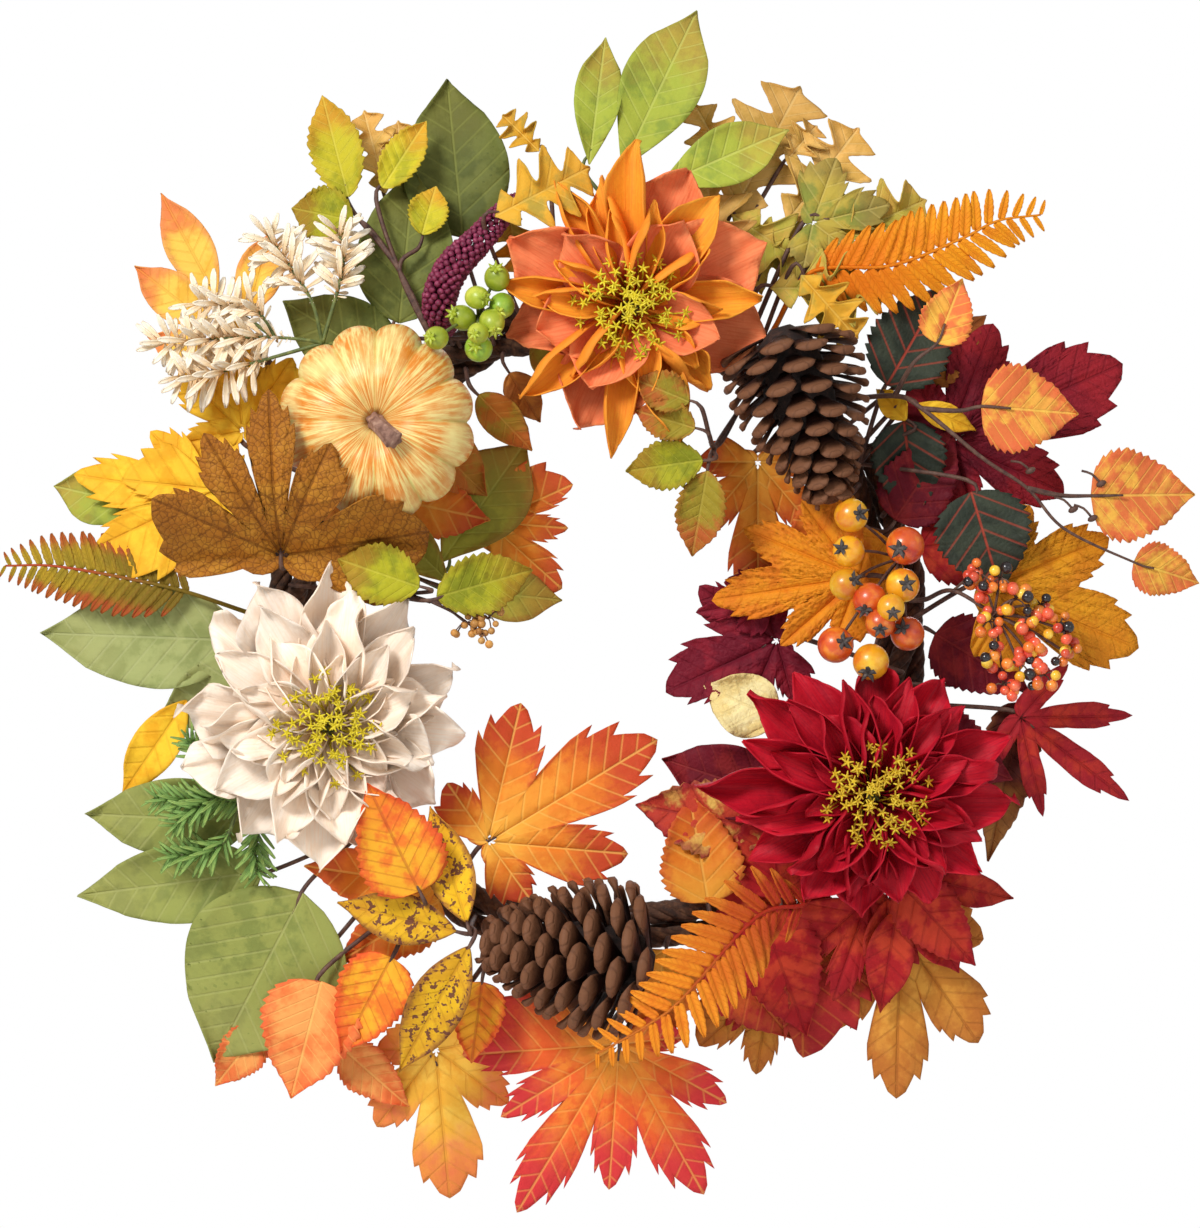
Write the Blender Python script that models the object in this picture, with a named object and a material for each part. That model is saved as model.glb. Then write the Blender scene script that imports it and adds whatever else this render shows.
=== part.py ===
"""Harvest door wreath: a twisted vine ring with wired picks of leaves, flowers, cones and berries.

The wreath hangs in the XZ plane and its front faces -Y. The origin is the top of the hanging
loop's eye, in the middle plane of the vine ring. Lengths below are millimetres and angles are
degrees; `place` turns them into Blender's metres. A spot on the wreath is given as a clock
(degrees clockwise from the top, seen from the front), as `out` (distance outwards from the ring's
centreline) and as a depth (distance forwards from the door).
"""

import math

import bmesh
import bpy
from mathutils import Matrix, Vector

MM = 0.001
GAP = 0.3  # clearance left between neighbouring pieces

# Vine ring
RING_RADIUS = 145.0
RING_DEPTH = 12.5  # depth of the ring's centreline
STRAND_RADIUS = 5.5
STRAND_COUNT = 3
STRAND_TURNS = 6
STRAND_STEPS = 54
STRAND_SIDES = 6
HELIX_RADIUS = (STRAND_RADIUS + GAP) * 2 / math.sqrt(3) + 0.5
BUNDLE_RADIUS = HELIX_RADIUS + STRAND_RADIUS
BUNDLE_FRONT = RING_DEPTH + BUNDLE_RADIUS

# Binding wire and hanging loop
TIE_CLOCKS = {"tie_wire_right": 112, "tie_wire_left": 252}
TIE_RADIUS = 1.1
HANGER_CLOCK = -3.0
HANGER_WIRE = 1.3
HANGER_NECK = 14.0
EYE_RADIUS = 9.0

# Stems, leaves and the shallow dome that the arrangement follows
STEM_RADIUS = 1.4
STEM_SIDES = 4
SHARP_ANGLE = math.radians(50)  # edges sharper than this keep a crease
FACET_TURN = 0.35  # radians; keeps the facets of crossing stems out of each other's planes
STEM_RISE = 3.0  # straight stretch of a stem in front of the vine, before it bends
BLADE_THICKNESS = 1.8
BLADE_SECTION = ((-1, 0), (0, 1), (1, 0), (0, -1))  # (side, face) round a leaf's cross-section
LEAF_STAGGER = 0.37  # keeps the edges of one sprig's leaves out of each other's plane
DOME = 10.0
CORNER_CUT = 1.6
MIDRIB_START = 2.0  # a stem meets its leaf this far short of the leaf's base
MIDRIB_INSET = 6.0  # and ends this far up its midrib

# Flowers
PEG_RADIUS = 3.0
PETAL_THICKNESS = 2.4
CALYX_RADIUS = 9.0
CALYX_FRONT = 58.0
TUFT_RADIUS = 23.0
TUFT_HEIGHT = 27.0
INNER_PETAL_REACH = 42.0

# Cones and pumpkin
CONE_LENGTH = 84.0
CONE_RADIUS = 33.0
CONE_DEPTH = BUNDLE_FRONT + 41.8  # the cones stand clear of the stems that pass behind them
PUMPKIN_RADIUS = 46.0
PUMPKIN_DEPTH = 75.0
PUMPKIN_HALF_HEIGHT = 28.0
PUMPKIN_RIBS = 12
PUMPKIN_STEM_LENGTH = 17.0
PICK_RADIUS = 1.8

# Picks whose stems bend where they leave the vines: the clock and out of each one's foot
HINGED_PICKS = {
    "birch_spray": (46, 9),
    "berry_spray": (85, 4),
    "fern_left": (272, 2),
    "rosemary_sprig": (243, 3),
    "fern_upper_right": (31, 4),
}

# Leaf outlines: half widths, as shares of the leaf's half width, at even steps from base to tip
OUTLINES = {
    "willow": (0.18, 0.90, 1.00, 0.60, 0.06),
    "rose": (0.22, 1.00, 0.98, 0.66, 0.06),
    "magnolia": (0.20, 1.00, 0.96, 0.62, 0.04),
    "laurel": (0.16, 0.80, 1.00, 0.80, 0.06),
    "birch": (0.34, 1.00, 0.82, 0.44, 0.03),
    "coleus": (0.28, 1.00, 0.88, 0.54, 0.04),
    "oak": (0.20, 0.90, 0.50, 1.00, 0.55, 0.70, 0.10),
}

# Sprigs of simple leaves: material, foot (clock, out), route points (clock, out, depth) of the
# stem, then leaves as (outline, clock, out, turn from outwards, length, width, depth, rise)
SPRIGS = {
    "willow_sprig": ("willow_leaf", (309, 2), [], [
        ("willow", 311, 94, 20, 55, 24, 32, 0),
        ("willow", 308, 89, 0, 46, 22, 32, 0),
        ("willow", 305, 75, -15, 36, 18, 32, 0),
        ("willow", 312, 77, 63, 42, 20, 32, 0),
    ]),
    "yellow_rose_sprig": ("rose_leaf", (330, 3), [(330, 4, 50), (331, 46, 51)], [
        ("rose", 330, 89, 15, 51, 24, 50, 0),
        ("rose", 329, 78, -46, 30, 24, 50, 0),
        ("rose", 334, 85, 58, 38, 18, 50, 0),
        ("rose", 336, 57, 39, 24, 18, 50, 0),
    ]),
    "magnolia_sprig_top": ("magnolia_leaf", (340, 1), [], [
        ("magnolia", 341, 50, 13, 77, 50, 33, 0),
        ("magnolia", 327, 26, 38, 74, 46, 41, 0),
    ]),
    "laurel_sprig_top": ("laurel_leaf", (13, 2), [], [
        ("laurel", 359, 73, 8, 62, 22, 46, 0),
        ("laurel", 3, 71, 22, 85, 38, 46, 0),
        ("laurel", 8, 65, 58, 67, 28, 46, 0),
    ]),
    "oak_sprig": ("oak_leaf", (19, -2), [], [
        ("oak", 18, 60, 10, 71, 46, 31, 0),
        ("oak", 17, 42, 80, 58, 32, 31, 0),
    ]),
    "coleus_sprig": ("coleus_leaf", (58, 1), [], [
        ("coleus", 50, 33, -20, 55, 38, 38, 0),
        ("coleus", 56, 29, 117, 45, 34, 38, 0),
        ("coleus", 70, 41, 93, 49, 44, 54, 0),
    ]),
    "red_sprig": ("red_leaf", (128, 2), [], [
        ("willow", 127, 52, -24, 40, 16, 48, 0),
        ("willow", 130, 51, 21, 42, 22, 48, 0),
        ("willow", 133, 47, 55, 51, 20, 48, 0),
    ]),
    "birch_sprig": ("birch_leaf", (214, 0), [(214, 6, 40)], [
        ("birch", 214, 2, 120, 56, 40, 84, 4),
        ("birch", 218, 65, -23, 58, 46, 56, 0),
        ("birch", 212, 36, -4, 52, 34, 62, 0),
    ]),
    "speckled_sprig": ("speckled_leaf", (203, 3), [(203, 6, 60)], [
        ("willow", 205, 10, 78, 57, 23, 76, 0),
        ("willow", 204, 4, 138, 56, 22, 76, 0),
        ("willow", 202, 14, 7, 68, 26, 76, 0),
    ]),
    "magnolia_sprig_lower": ("magnolia_leaf", (229, 1), [], [
        ("magnolia", 228, 41, -20, 92, 78, 46, 0),
        ("magnolia", 234, 50, 28, 90, 38, 38, 0),
        ("magnolia", 241, 43, 31, 79, 38, 31, 0),
    ]),
    "magnolia_leaf_left": ("magnolia_leaf", (266, 1), [], [
        ("magnolia", 268, 23, 4, 97, 48, 31, 0),
    ]),
    "laurel_sprig_left": ("laurel_leaf", (290, -3), [], [
        ("laurel", 293, -65, 102, 70, 40, 34, 0),
        ("laurel", 285, -73, 171, 53, 25, 34, 0),
        ("laurel", 285, 73, -2, 49, 27, 34, 0),
    ]),
    "rose_berry_pick": ("rose_leaf", (278, -1), [(279, -40, 40)], [
        ("rose", 283, -60, 6, 40, 27, 74, 0),
        ("rose", 281, -69, 153, 46, 27, 74, 0),
    ]),
    "bronze_rose_sprig": ("bronze_rose", (33, -6), [(33, -22, 33), (33, -44, 62)], [
        ("rose", 22, -32, -89, 27, 18, 84, 0),
        ("rose", 26, -42, -99, 29, 18, 82, 0),
        ("rose", 32, -53, -130, 36, 22, 78, 0),
        ("rose", 35, -56, 155, 40, 21, 76, 0),
    ]),
    "mixed_leaf_pick": ("cream_leaf", (119, -2), [(119, -22, 33)], [
        ("magnolia", 117, -50, 178, 36, 26, 44, 0),
        ("magnolia", 133, -28, 155, 58, 34, 34, 0),
        ("coleus", 140, -22, 140, 62, 36, 40, 0),
    ]),
}

# Lobed leaves: material, foot, route, leaves as (clock, out, turn, depth, rise, lobes), where a
# lobe is (angle from the middle lobe, length)
LOBED_SPRIGS = {
    "yellow_maple_sprig": ("yellow_maple", (298, 1), [], [
        (299, 46, 55, 38, 0, ((-95, 29), (-40, 42), (0, 54), (40, 42), (95, 29))),
        (289, 44, -10, 42, 0, ((-80, 30), (-35, 45), (0, 70), (35, 45), (80, 30))),
    ]),
    "green_maple_leaf": ("green_maple", (28, 1), [], [
        (28, 71, 48, 43, 0, ((-56, 33), (0, 38), (51, 22), (116, 22))),
    ]),
    "burgundy_maple_leaf": ("burgundy_maple", (68, 2), [], [
        (62, 43, 4, 31, 0, ((-95, 34), (-45, 60), (0, 92), (48, 60), (95, 34))),
    ]),
    "mustard_maple_leaf": ("mustard_maple", (89, 1), [], [
        (84, 40, 28, 44, 0, ((-85, 43), (-44, 62), (0, 77), (48, 42))),
    ]),
    "red_maple_leaf": ("red_maple", (104, 2), [], [
        (102, 59, 25, 37, 0, ((-85, 34), (-38, 54), (0, 66), (40, 48), (85, 30))),
    ]),
    "bronze_maple_leaf": ("bronze_maple", (141, 1), [], [
        (135, 57, 46, 33, 0, ((-85, 40), (-36, 66), (0, 80), (34, 58), (85, 36))),
    ]),
    "orange_maple_inner": ("orange_maple", (209, -2), [], [
        (207, -32, -148, 40, 0, ((-94, 34), (-46, 67), (0, 93), (36, 66), (85, 34))),
    ]),
    "flame_maple_leaf": ("flame_maple", (176, 1), [], [
        (177, 51, 7, 42, 0,
         ((-100, 30), (-65, 58), (-33, 83), (0, 70), (27, 94), (54, 66), (82, 74))),
    ]),
    "gold_maple_leaf": ("gold_maple", (196, 1), [], [
        (201, 68, -26, 35, 0, ((-95, 28), (-48, 43), (0, 72), (42, 47), (95, 28))),
    ]),
    "fatsia_leaf": ("fatsia_leaf", (284, 2), [], [
        (283, 6, 74, 66, 39, ((-63, 63), (-28, 65), (0, 76), (29, 57), (84, 70))),
    ]),
    "orange_maple_right": ("orange_maple", (51, -3), [], [
        (44, -36, 136, 31, 0, ((-90, 28), (-40, 42), (0, 68), (40, 42), (90, 28))),
    ]),
    "crinkled_maple_leaf": ("crinkled_maple", (81, -1), [], [
        (79, -20, -178, 50, 0, ((-60, 34), (-32, 49), (0, 70), (32, 59), (62, 45))),
    ]),
    "crimson_maple_inner": ("crimson_maple", (98, -3), [], [
        (94, -60, 151, 38, 0, ((-80, 30), (-42, 42), (0, 58), (60, 45), (95, 24))),
    ]),
}

# Fern fronds: material, foot, ribs as (clock, out, depth) points, pinna reach
FERNS = {
    "fern_upper_right": ("fern_orange", (31, 4), [
        (30.5, 20, 36), (31, 50, 46), (39, 74, 50), (43, 105, 50), (44.5, 124, 50), (47, 141, 50),
    ], 17),
    "fern_lower": ("fern_flame", (139, -4), [
        (139, 8, 44), (143, 16, 60), (151, 8, 76), (167, 29, 101), (173, 39, 97), (180, 51, 90),
    ], 17),
    "fern_left": ("fern_olive", (272, 2), [
        (272, 14, 34), (275, 49, 38), (276, 77, 38), (276.5, 113, 38), (276, 137, 38),
    ], 14),
}

# Flower heads: clock, out, then the outer petals as (clock, length)
FLOWERS = {
    "orange_flower": (6, 5, ((2, 78), (40, 68), (74, 60), (120, 42), (162, 66), (200, 70),
                             (240, 60), (280, 64), (322, 68))),
    "cream_flower": (250, -12, ((0, 74), (40, 68), (80, 60), (120, 58), (162, 62), (200, 64),
                                (240, 66), (280, 68), (322, 70))),
    "red_flower": (121, 5, ((0, 60), (40, 60), (80, 66), (120, 58), (160, 54), (200, 54),
                            (240, 58), (280, 80), (322, 70))),
}
PETAL_COLOURS = {
    "orange_flower": ("orange_petal", "coral_petal"),
    "cream_flower": ("cream_petal", "cream_petal"),
    "red_flower": ("red_petal", "red_petal"),
}

# Cones: clock, out, and the clock direction of the tip
CONES = {"upper_pine_cone": (43, -4, 163), "lower_pine_cone": (184.5, 7, 278)}
PUMPKIN_SPOT = (313, -5)

# Twigs: paths of (clock, out, depth) points; berries as (clock, out, depth, radius)
BIRCH_FOOT = (46, 9)
BIRCH_TWIGS = (
    ((52, 32, 46), (56, 38, 60), (66, 51, 64), (72, 66, 64), (78, 78, 64)),
    ((52, 32, 46), (50, 48, 60)),
    ((56, 38, 60), (59, 52, 63)),
    ((72, 66, 64), (74, 80, 64)),
)
BIRCH_LEAVES = (
    ("birch", 83, 108, 24, 33, 24, 64, 0),
    ("birch", 50, 62, -28, 33, 24, 62, 0),
    ("birch", 60, 62, 34, 46, 40, 64, 0),
    ("birch", 75, 94, 14, 50, 42, 64, 0),
)
HAWTHORN_STEM = ((77, 1, 40), (77, 0, 56))
HAWTHORN_BERRIES = (
    (66, -16, 72, 8), (73, -23, 72, 7.5), (80, -28, 72, 7.5), (75, 3, 72, 9),
    (84, -18, 74, 8), (82, -2, 74, 8), (94, -34, 70, 8.5), (97, -17, 72, 8.5),
    (91, -1, 72, 8), (89, -14, 80, 7),
)
SPRAY_STEM = ((85, 10, 40), (84, 22, 58), (88, 40, 66))
SPRAY_BERRIES = (
    (84, 30, 66, 3), (81, 26, 66, 3), (83, 44, 68, 3), (86, 50, 70, 3), (89, 56, 68, 3),
    (92, 60, 68, 3), (95, 52, 70, 3), (98, 46, 68, 3), (94, 40, 70, 3), (90, 30, 70, 3),
    (87, 62, 66, 3), (90, 70, 68, 3), (93, 74, 66, 3), (96, 64, 68, 3),
)
ROSEHIP_STEM = ((338, 6, 50), (339, 10, 66))
ROSEHIPS = ((344, 24, 76, 6), (343.5, 11, 76, 6), (341, 5, 80, 6), (336.5, 12, 76, 6),
            (337, -4, 78, 6.5), (331, 8, 92, 5.5))
TAN_BERRIES = ((282, -90, 70, 2.4), (278, -86, 70, 2.4), (272, -84, 70, 2.4), (268, -90, 70, 2.4),
               (275, -94, 72, 2.4))
AMARANTH_PATH = ((334, 24, 58), (338, 36, 64), (343, 44, 66), (348, 55, 66), (353.5, 64, 64))
FLORET_PATHS = (
    ((318, 24, 44), (316, 40, 58), (312, 58, 61), (308, 75, 62), (303, 100, 60)),
    ((316, 40, 58), (303, 72, 62), (301, 83, 62)),
    ((312, 58, 61), (311, 84, 62), (309, 96, 60)),
    ((316, 40, 58), (319, 60, 62), (320, 95, 60)),
    ((316, 40, 58), (325, 62, 62), (327, 78, 60)),
    ((312, 58, 61), (313, 70, 66), (313, 80, 66)),
)
ROSEMARY_PATHS = (
    ((243, 20, 38), (243, 32, 46), (247, 62, 50), (249, 78, 50)),
    ((243, 32, 46), (250, 46, 50), (255, 52, 50)),
    ((244, 42, 48), (240, 60, 50), (242, 84, 50)),
    ((243, 32, 46), (237, 46, 50), (234, 50, 50)),
)

COLOURS = {
    "vine": (0.20, 0.12, 0.07, 0.85), "wire": (0.13, 0.17, 0.10, 0.45),
    "willow_leaf": (0.94, 0.72, 0.25, 0.6), "rose_leaf": (0.68, 0.66, 0.15, 0.6),
    "magnolia_leaf": (0.45, 0.48, 0.28, 0.7), "laurel_leaf": (0.62, 0.70, 0.35, 0.6),
    "oak_leaf": (0.80, 0.60, 0.33, 0.7), "coleus_leaf": (0.22, 0.23, 0.20, 0.6),
    "red_leaf": (0.62, 0.10, 0.12, 0.6), "birch_leaf": (0.90, 0.50, 0.20, 0.6),
    "speckled_leaf": (0.86, 0.68, 0.14, 0.6), "bronze_rose": (0.60, 0.50, 0.14, 0.6),
    "cream_leaf": (0.90, 0.84, 0.66, 0.7), "yellow_maple": (0.95, 0.76, 0.24, 0.6),
    "green_maple": (0.62, 0.60, 0.24, 0.6), "burgundy_maple": (0.48, 0.10, 0.18, 0.6),
    "mustard_maple": (0.88, 0.62, 0.13, 0.6), "red_maple": (0.66, 0.14, 0.13, 0.6),
    "bronze_maple": (0.72, 0.46, 0.18, 0.6), "orange_maple": (0.88, 0.45, 0.12, 0.6),
    "flame_maple": (0.86, 0.28, 0.16, 0.6), "gold_maple": (0.90, 0.62, 0.20, 0.6),
    "fatsia_leaf": (0.58, 0.38, 0.12, 0.6), "crinkled_maple": (0.86, 0.48, 0.12, 0.6),
    "crimson_maple": (0.50, 0.10, 0.16, 0.6), "fern_orange": (0.90, 0.58, 0.14, 0.6),
    "fern_flame": (0.86, 0.45, 0.12, 0.6), "fern_olive": (0.55, 0.45, 0.12, 0.6),
    "orange_petal": (0.95, 0.62, 0.20, 0.7), "coral_petal": (0.93, 0.52, 0.34, 0.7),
    "cream_petal": (0.95, 0.90, 0.84, 0.7), "red_petal": (0.70, 0.07, 0.16, 0.7),
    "stamen": (0.84, 0.78, 0.14, 0.5), "pine_cone": (0.24, 0.14, 0.09, 0.75),
    "pumpkin_skin": (0.93, 0.83, 0.55, 0.5), "pumpkin_stalk": (0.55, 0.42, 0.37, 0.8),
    "hawthorn_berry": (0.88, 0.42, 0.10, 0.3), "spray_berry": (0.90, 0.45, 0.14, 0.3),
    "rosehip": (0.60, 0.66, 0.18, 0.35), "amaranth": (0.48, 0.12, 0.26, 0.8),
    "floret": (0.93, 0.80, 0.60, 0.6), "rosemary": (0.26, 0.60, 0.22, 0.5),
}


def material(slot):
    """The Principled material of a slot, made once."""
    found = bpy.data.materials.get(slot)
    if found:
        return found
    made = bpy.data.materials.new(slot)
    made.use_nodes = True
    red, green, blue, roughness = COLOURS[slot]
    shader = made.node_tree.nodes["Principled BSDF"]
    shader.inputs["Base Color"].default_value = (red, green, blue, 1)
    shader.inputs["Roughness"].default_value = roughness
    shader.inputs["Metallic"].default_value = 0.6 if slot == "wire" else 0.0
    return made


def hang_drop():
    """From the eye's inside top, where the hook carries, down to the ring's centre."""
    return RING_RADIUS + BUNDLE_RADIUS + HANGER_NECK + 2 * EYE_RADIUS - HANGER_WIRE


def place(x, z, depth):
    """A point given by x, height over the ring's centre and depth, in metres."""
    return Vector((x, RING_DEPTH - depth, z - hang_drop())) * MM


def spot(clock, out):
    """(x, z) in millimetres about the ring's centre."""
    radius = RING_RADIUS + out
    return radius * math.sin(math.radians(clock)), radius * math.cos(math.radians(clock))


def dome(x, z):
    """How far the arrangement falls back towards the door away from the ring's centreline."""
    return -DOME * ((math.hypot(x, z) - RING_RADIUS) / 100) ** 2


def spot_point(clock, out, depth):
    """A point of a route: clock, out and a depth that follows the dome."""
    x, z = spot(clock, out)
    return Vector((x, z, depth + dome(x, z)))


def ring_front(clock, out, radius):
    """Depth of the middle of a stem's end that rests in the vine, GAP away from its strands."""
    reach = STRAND_RADIUS * 1.08 + radius + GAP
    depth = RING_DEPTH
    for strand in range(STRAND_COUNT):
        turn = math.radians(STRAND_TURNS * clock + 360 * strand / STRAND_COUNT)
        aside = out - HELIX_RADIUS * math.cos(turn)
        if abs(aside) < reach:
            depth = max(depth, RING_DEPTH + HELIX_RADIUS * math.sin(turn)
                        + math.sqrt(reach ** 2 - aside ** 2))
    return depth


def foot_points(foot, radius=STEM_RADIUS):
    """The start of a stem: its end among the strands, then straight forwards clear of them."""
    x, z = spot(*foot)
    front = BUNDLE_FRONT + radius + GAP
    end = min(ring_front(*foot, radius), front)
    return [Vector((x, z, end)), Vector((x, z, front + STEM_RISE))]


def solid(name, shape, slot):
    """An object from a bmesh whose points are (x, height, depth) in millimetres."""
    bmesh.ops.recalc_face_normals(shape, faces=shape.faces)
    for point in shape.verts:
        point.co = place(*point.co)
    if shape.calc_volume(signed=True) < 0:
        bmesh.ops.reverse_faces(shape, faces=shape.faces)
    mesh = bpy.data.meshes.new(name)
    shape.to_mesh(mesh)
    shape.free()
    mesh.shade_smooth()
    mesh.set_sharp_from_angle(angle=SHARP_ANGLE)
    mesh.materials.append(material(slot))
    made = bpy.data.objects.new(name, mesh)
    bpy.context.scene.collection.objects.link(made)
    return made


def skin(rows, endless=False):
    """A bmesh over rows of points, each row a loop: endless, or with a cap on both end rows."""
    shape = bmesh.new()
    made = [[shape.verts.new(point) for point in row] for row in rows]
    count = len(rows[0])
    for low, high in zip(made, made[1:] + made[:1] if endless else made[1:]):
        for i in range(count):
            j = (i + 1) % count
            shape.faces.new((low[i], low[j], high[j], high[i]))
    if not endless:
        shape.faces.new(made[0])
        shape.faces.new(made[-1])
    return shape


def stem(path, radius=STEM_RADIUS):
    """A wire stem, each sharp corner of its path cut off by a short chord."""
    points = [path[0]]
    for before, corner, after in zip(path, path[1:], path[2:]):
        into, out = (corner - before), (after - corner)
        if into.angle(out) < math.radians(25):
            points.append(corner)
            continue
        cut = min(CORNER_CUT, into.length / 2.5, out.length / 2.5)
        points += [corner - into.normalized() * cut, corner + out.normalized() * cut]
    return tube(points + [path[-1]], radius)


def tube(path, radii, sides=STEM_SIDES, endless=False):
    """A round bar along a path; radii is one radius or one for each point."""
    if not isinstance(radii, (list, tuple)):
        radii = [radii] * len(path)
    rows = []
    last = len(path) - 1
    side = None
    for i, point in enumerate(path):
        before = path[i - 1] if (i or endless) else point
        after = path[(i + 1) % len(path)] if (i < last or endless) else point
        along = (after - before).normalized()
        if side is None:
            side = along.orthogonal().normalized()
        side = (side - along * side.dot(along)).normalized()
        other = along.cross(side)
        rows.append([
            point + (side * math.cos(turn) + other * math.sin(turn)) * radii[i]
            for turn in (2 * math.pi * k / sides + FACET_TURN for k in range(sides))
        ])
    return skin(rows, endless)


def turned(centre, profile, sides=16, ribs=None):
    """A form turned about an axis that points forwards; profile rows are (radius, depth)."""
    rows = []
    for radius, depth in profile:
        rows.append([
            Vector((centre[0] + radius * scale * math.sin(turn),
                    centre[1] + radius * scale * math.cos(turn), depth))
            for turn, scale in ((2 * math.pi * k / sides, ribs(k) if ribs else 1.0)
                                for k in range(sides))
        ])
    return skin(rows)


def ball(centre, radius, sides=6, rings=4):
    """A small round berry, its poles cut flat."""
    rows = []
    for ring in range(1, rings):
        turn = math.pi * ring / rings
        rows.append([
            Vector((centre[0] + radius * math.sin(turn) * math.cos(2 * math.pi * k / sides),
                    centre[1] + radius * math.sin(turn) * math.sin(2 * math.pi * k / sides),
                    centre[2] - radius * math.cos(turn)))
            for k in range(sides)
        ])
    return skin(rows)


def cutter_or_helper(made):
    made.hide_render = True
    made.display_type = "WIRE"
    return made


def joined(name, shapes, slot):
    """One body from several overlapping shapes, by Boolean union onto the first."""
    made = solid(name, shapes[0], slot)
    for number, shape in enumerate(shapes[1:]):
        helper = cutter_or_helper(solid(f"{name}_part_{number + 1}", shape, slot))
        union = made.modifiers.new(f"join_{number + 1}", "BOOLEAN")
        union.operation = "UNION"
        union.solver = "EXACT"
        union.use_self = True
        union.object = helper
    return made


def heading(clock, turn):
    """Unit (x, z) direction of a leaf: turn degrees clockwise from outwards."""
    angle = math.radians(clock + turn)
    return math.sin(angle), math.cos(angle)


def blade(leaf):
    """The plate of a simple leaf, thickest along its midrib."""
    outline, clock, out, turn, length, width, depth, rise = leaf
    base = spot(clock, out)
    along = heading(clock, turn)
    across = (along[1], -along[0])
    shares = OUTLINES[outline]
    rows = []
    for i, share in enumerate(shares):
        t = i / (len(shares) - 1)
        half = max(share * width / 2, 0.5)
        row = []
        for side, face in BLADE_SECTION:
            x = base[0] + along[0] * length * t + across[0] * half * side
            z = base[1] + along[1] * length * t + across[1] * half * side
            row.append(Vector((x, z, depth + rise * t + dome(x, z)
                               + face * BLADE_THICKNESS / 2)))
        rows.append(row)
    return skin(rows)


def lobe_outline(lobes):
    """(angle, radius) round a lobed leaf: a tip and two shoulders a lobe, a notch between."""
    points = []
    for i, (angle, length) in enumerate(lobes):
        if i:
            before = lobes[i - 1]
            points.append(((before[0] + angle) / 2, 0.44 * min(before[1], length)))
        points += [(angle - 8, 0.62 * length), (angle, length), (angle + 8, 0.62 * length)]
    first, last = lobes[0], lobes[-1]
    points.append((last[0] + (180 - last[0]) * 0.4, 0.35 * last[1]))
    points.append((176, 5.0))
    points.append((first[0] + 360 - (180 + first[0]) * 0.4, 0.35 * first[1]))
    return points


def lobed_blade(leaf):
    """The plate of a lobed leaf, flat to the dome and raised towards its middle lobe."""
    clock, out, turn, depth, rise, lobes = leaf
    base = spot(clock, out)
    along = heading(clock, turn)
    longest = max(length for _, length in lobes)

    def point(angle, radius, face):
        way = heading(clock + turn, angle)
        x = base[0] + way[0] * radius
        z = base[1] + way[1] * radius
        forward = (way[0] * along[0] + way[1] * along[1]) * radius / longest
        lift = rise * math.sin(math.pi / 2 * min(max(2 * forward, 0.0), 1.0))
        return Vector((x, z, depth + lift + dome(x, z) + face * BLADE_THICKNESS / 2))

    shape = bmesh.new()
    edge = [shape.verts.new(point(*corner, 0)) for corner in lobe_outline(lobes)]
    front, back = (shape.verts.new(point(0, 0, face)) for face in (1, -1))
    for first, second in zip(edge, edge[1:] + edge[:1]):
        shape.faces.new((front, first, second))
        shape.faces.new((back, second, first))
    return shape


def branch(leaf_point, leaf_depth, along):
    """A stem's last stretch: into the leaf's base and a little way up its midrib."""
    points = []
    for step, proud in ((-MIDRIB_START, 0.3), (MIDRIB_INSET, 0.5)):
        x = leaf_point[0] + along[0] * step
        z = leaf_point[1] + along[1] * step
        points.append(Vector((x, z, leaf_depth + proud + dome(x, z))))
    return points


def stems(foot, route, ends):
    """Stem tubes from the foot, along the route, forking to each leaf's base."""
    trunk = foot_points(foot) + [spot_point(*point) for point in route]
    fork = trunk[-1]
    if not route and len(ends) > 1:
        middle = sum(((end[0] - fork) * 0.5 for end in ends), Vector((0, 0, 0))) / len(ends)
        fork = fork + middle
        trunk.append(fork)
    shapes = [stem(trunk + ends[0])]
    for end in ends[1:]:
        back = (trunk[-2] - fork).normalized() * STEM_RADIUS * 1.5
        shapes.append(stem([fork + back] + end))
    return shapes


def simple_sprig(foot, route, leaves):
    """Stems and leaves, each leaf a little further forwards than the one before it."""
    ends = []
    blades = []
    for number, leaf in enumerate(leaves):
        outline, clock, out, turn, length, width, depth, rise = leaf
        depth += number * LEAF_STAGGER
        ends.append(branch(spot(clock, out), depth, heading(clock, turn)))
        blades.append(blade((outline, clock, out, turn, length, width, depth, rise)))
    return stems(foot, route, ends) + blades


def lobed_sprig(foot, route, leaves):
    ends = []
    for clock, out, turn, depth, _, _ in leaves:
        ends.append(branch(spot(clock, out), depth, heading(clock, turn)))
    return stems(foot, route, ends) + [lobed_blade(leaf) for leaf in leaves]


def fern_blade(ribs, reach):
    """A frond as one plate with a saw-toothed edge along a bent midrib."""
    rows = []
    steps = 14
    for i in range(steps + 1):
        t = i / steps * (len(ribs) - 1)
        k = min(int(t), len(ribs) - 2)
        point = ribs[k].lerp(ribs[k + 1], t - k)
        along = (ribs[k + 1] - ribs[k]).normalized()
        across = Vector((along.y, -along.x, 0)).normalized()
        share = i / steps
        envelope = math.sin(math.pi * min(0.12 + 0.9 * share, 1.0) ** 0.8) if i < steps else 0.05
        half = max(reach * envelope * (1.0 if i % 2 else 0.45), 0.6)
        rows.append([
            point + across * half * side + Vector((0, 0, face * BLADE_THICKNESS / 2))
            for side, face in BLADE_SECTION
        ])
    return skin(rows)


def build_fern(name, slot, foot, points, reach):
    ribs = [spot_point(*point) for point in points]
    return joined(name, [stem(foot_points(foot) + ribs[:3]), fern_blade(ribs[1:], reach)], slot)


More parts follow.
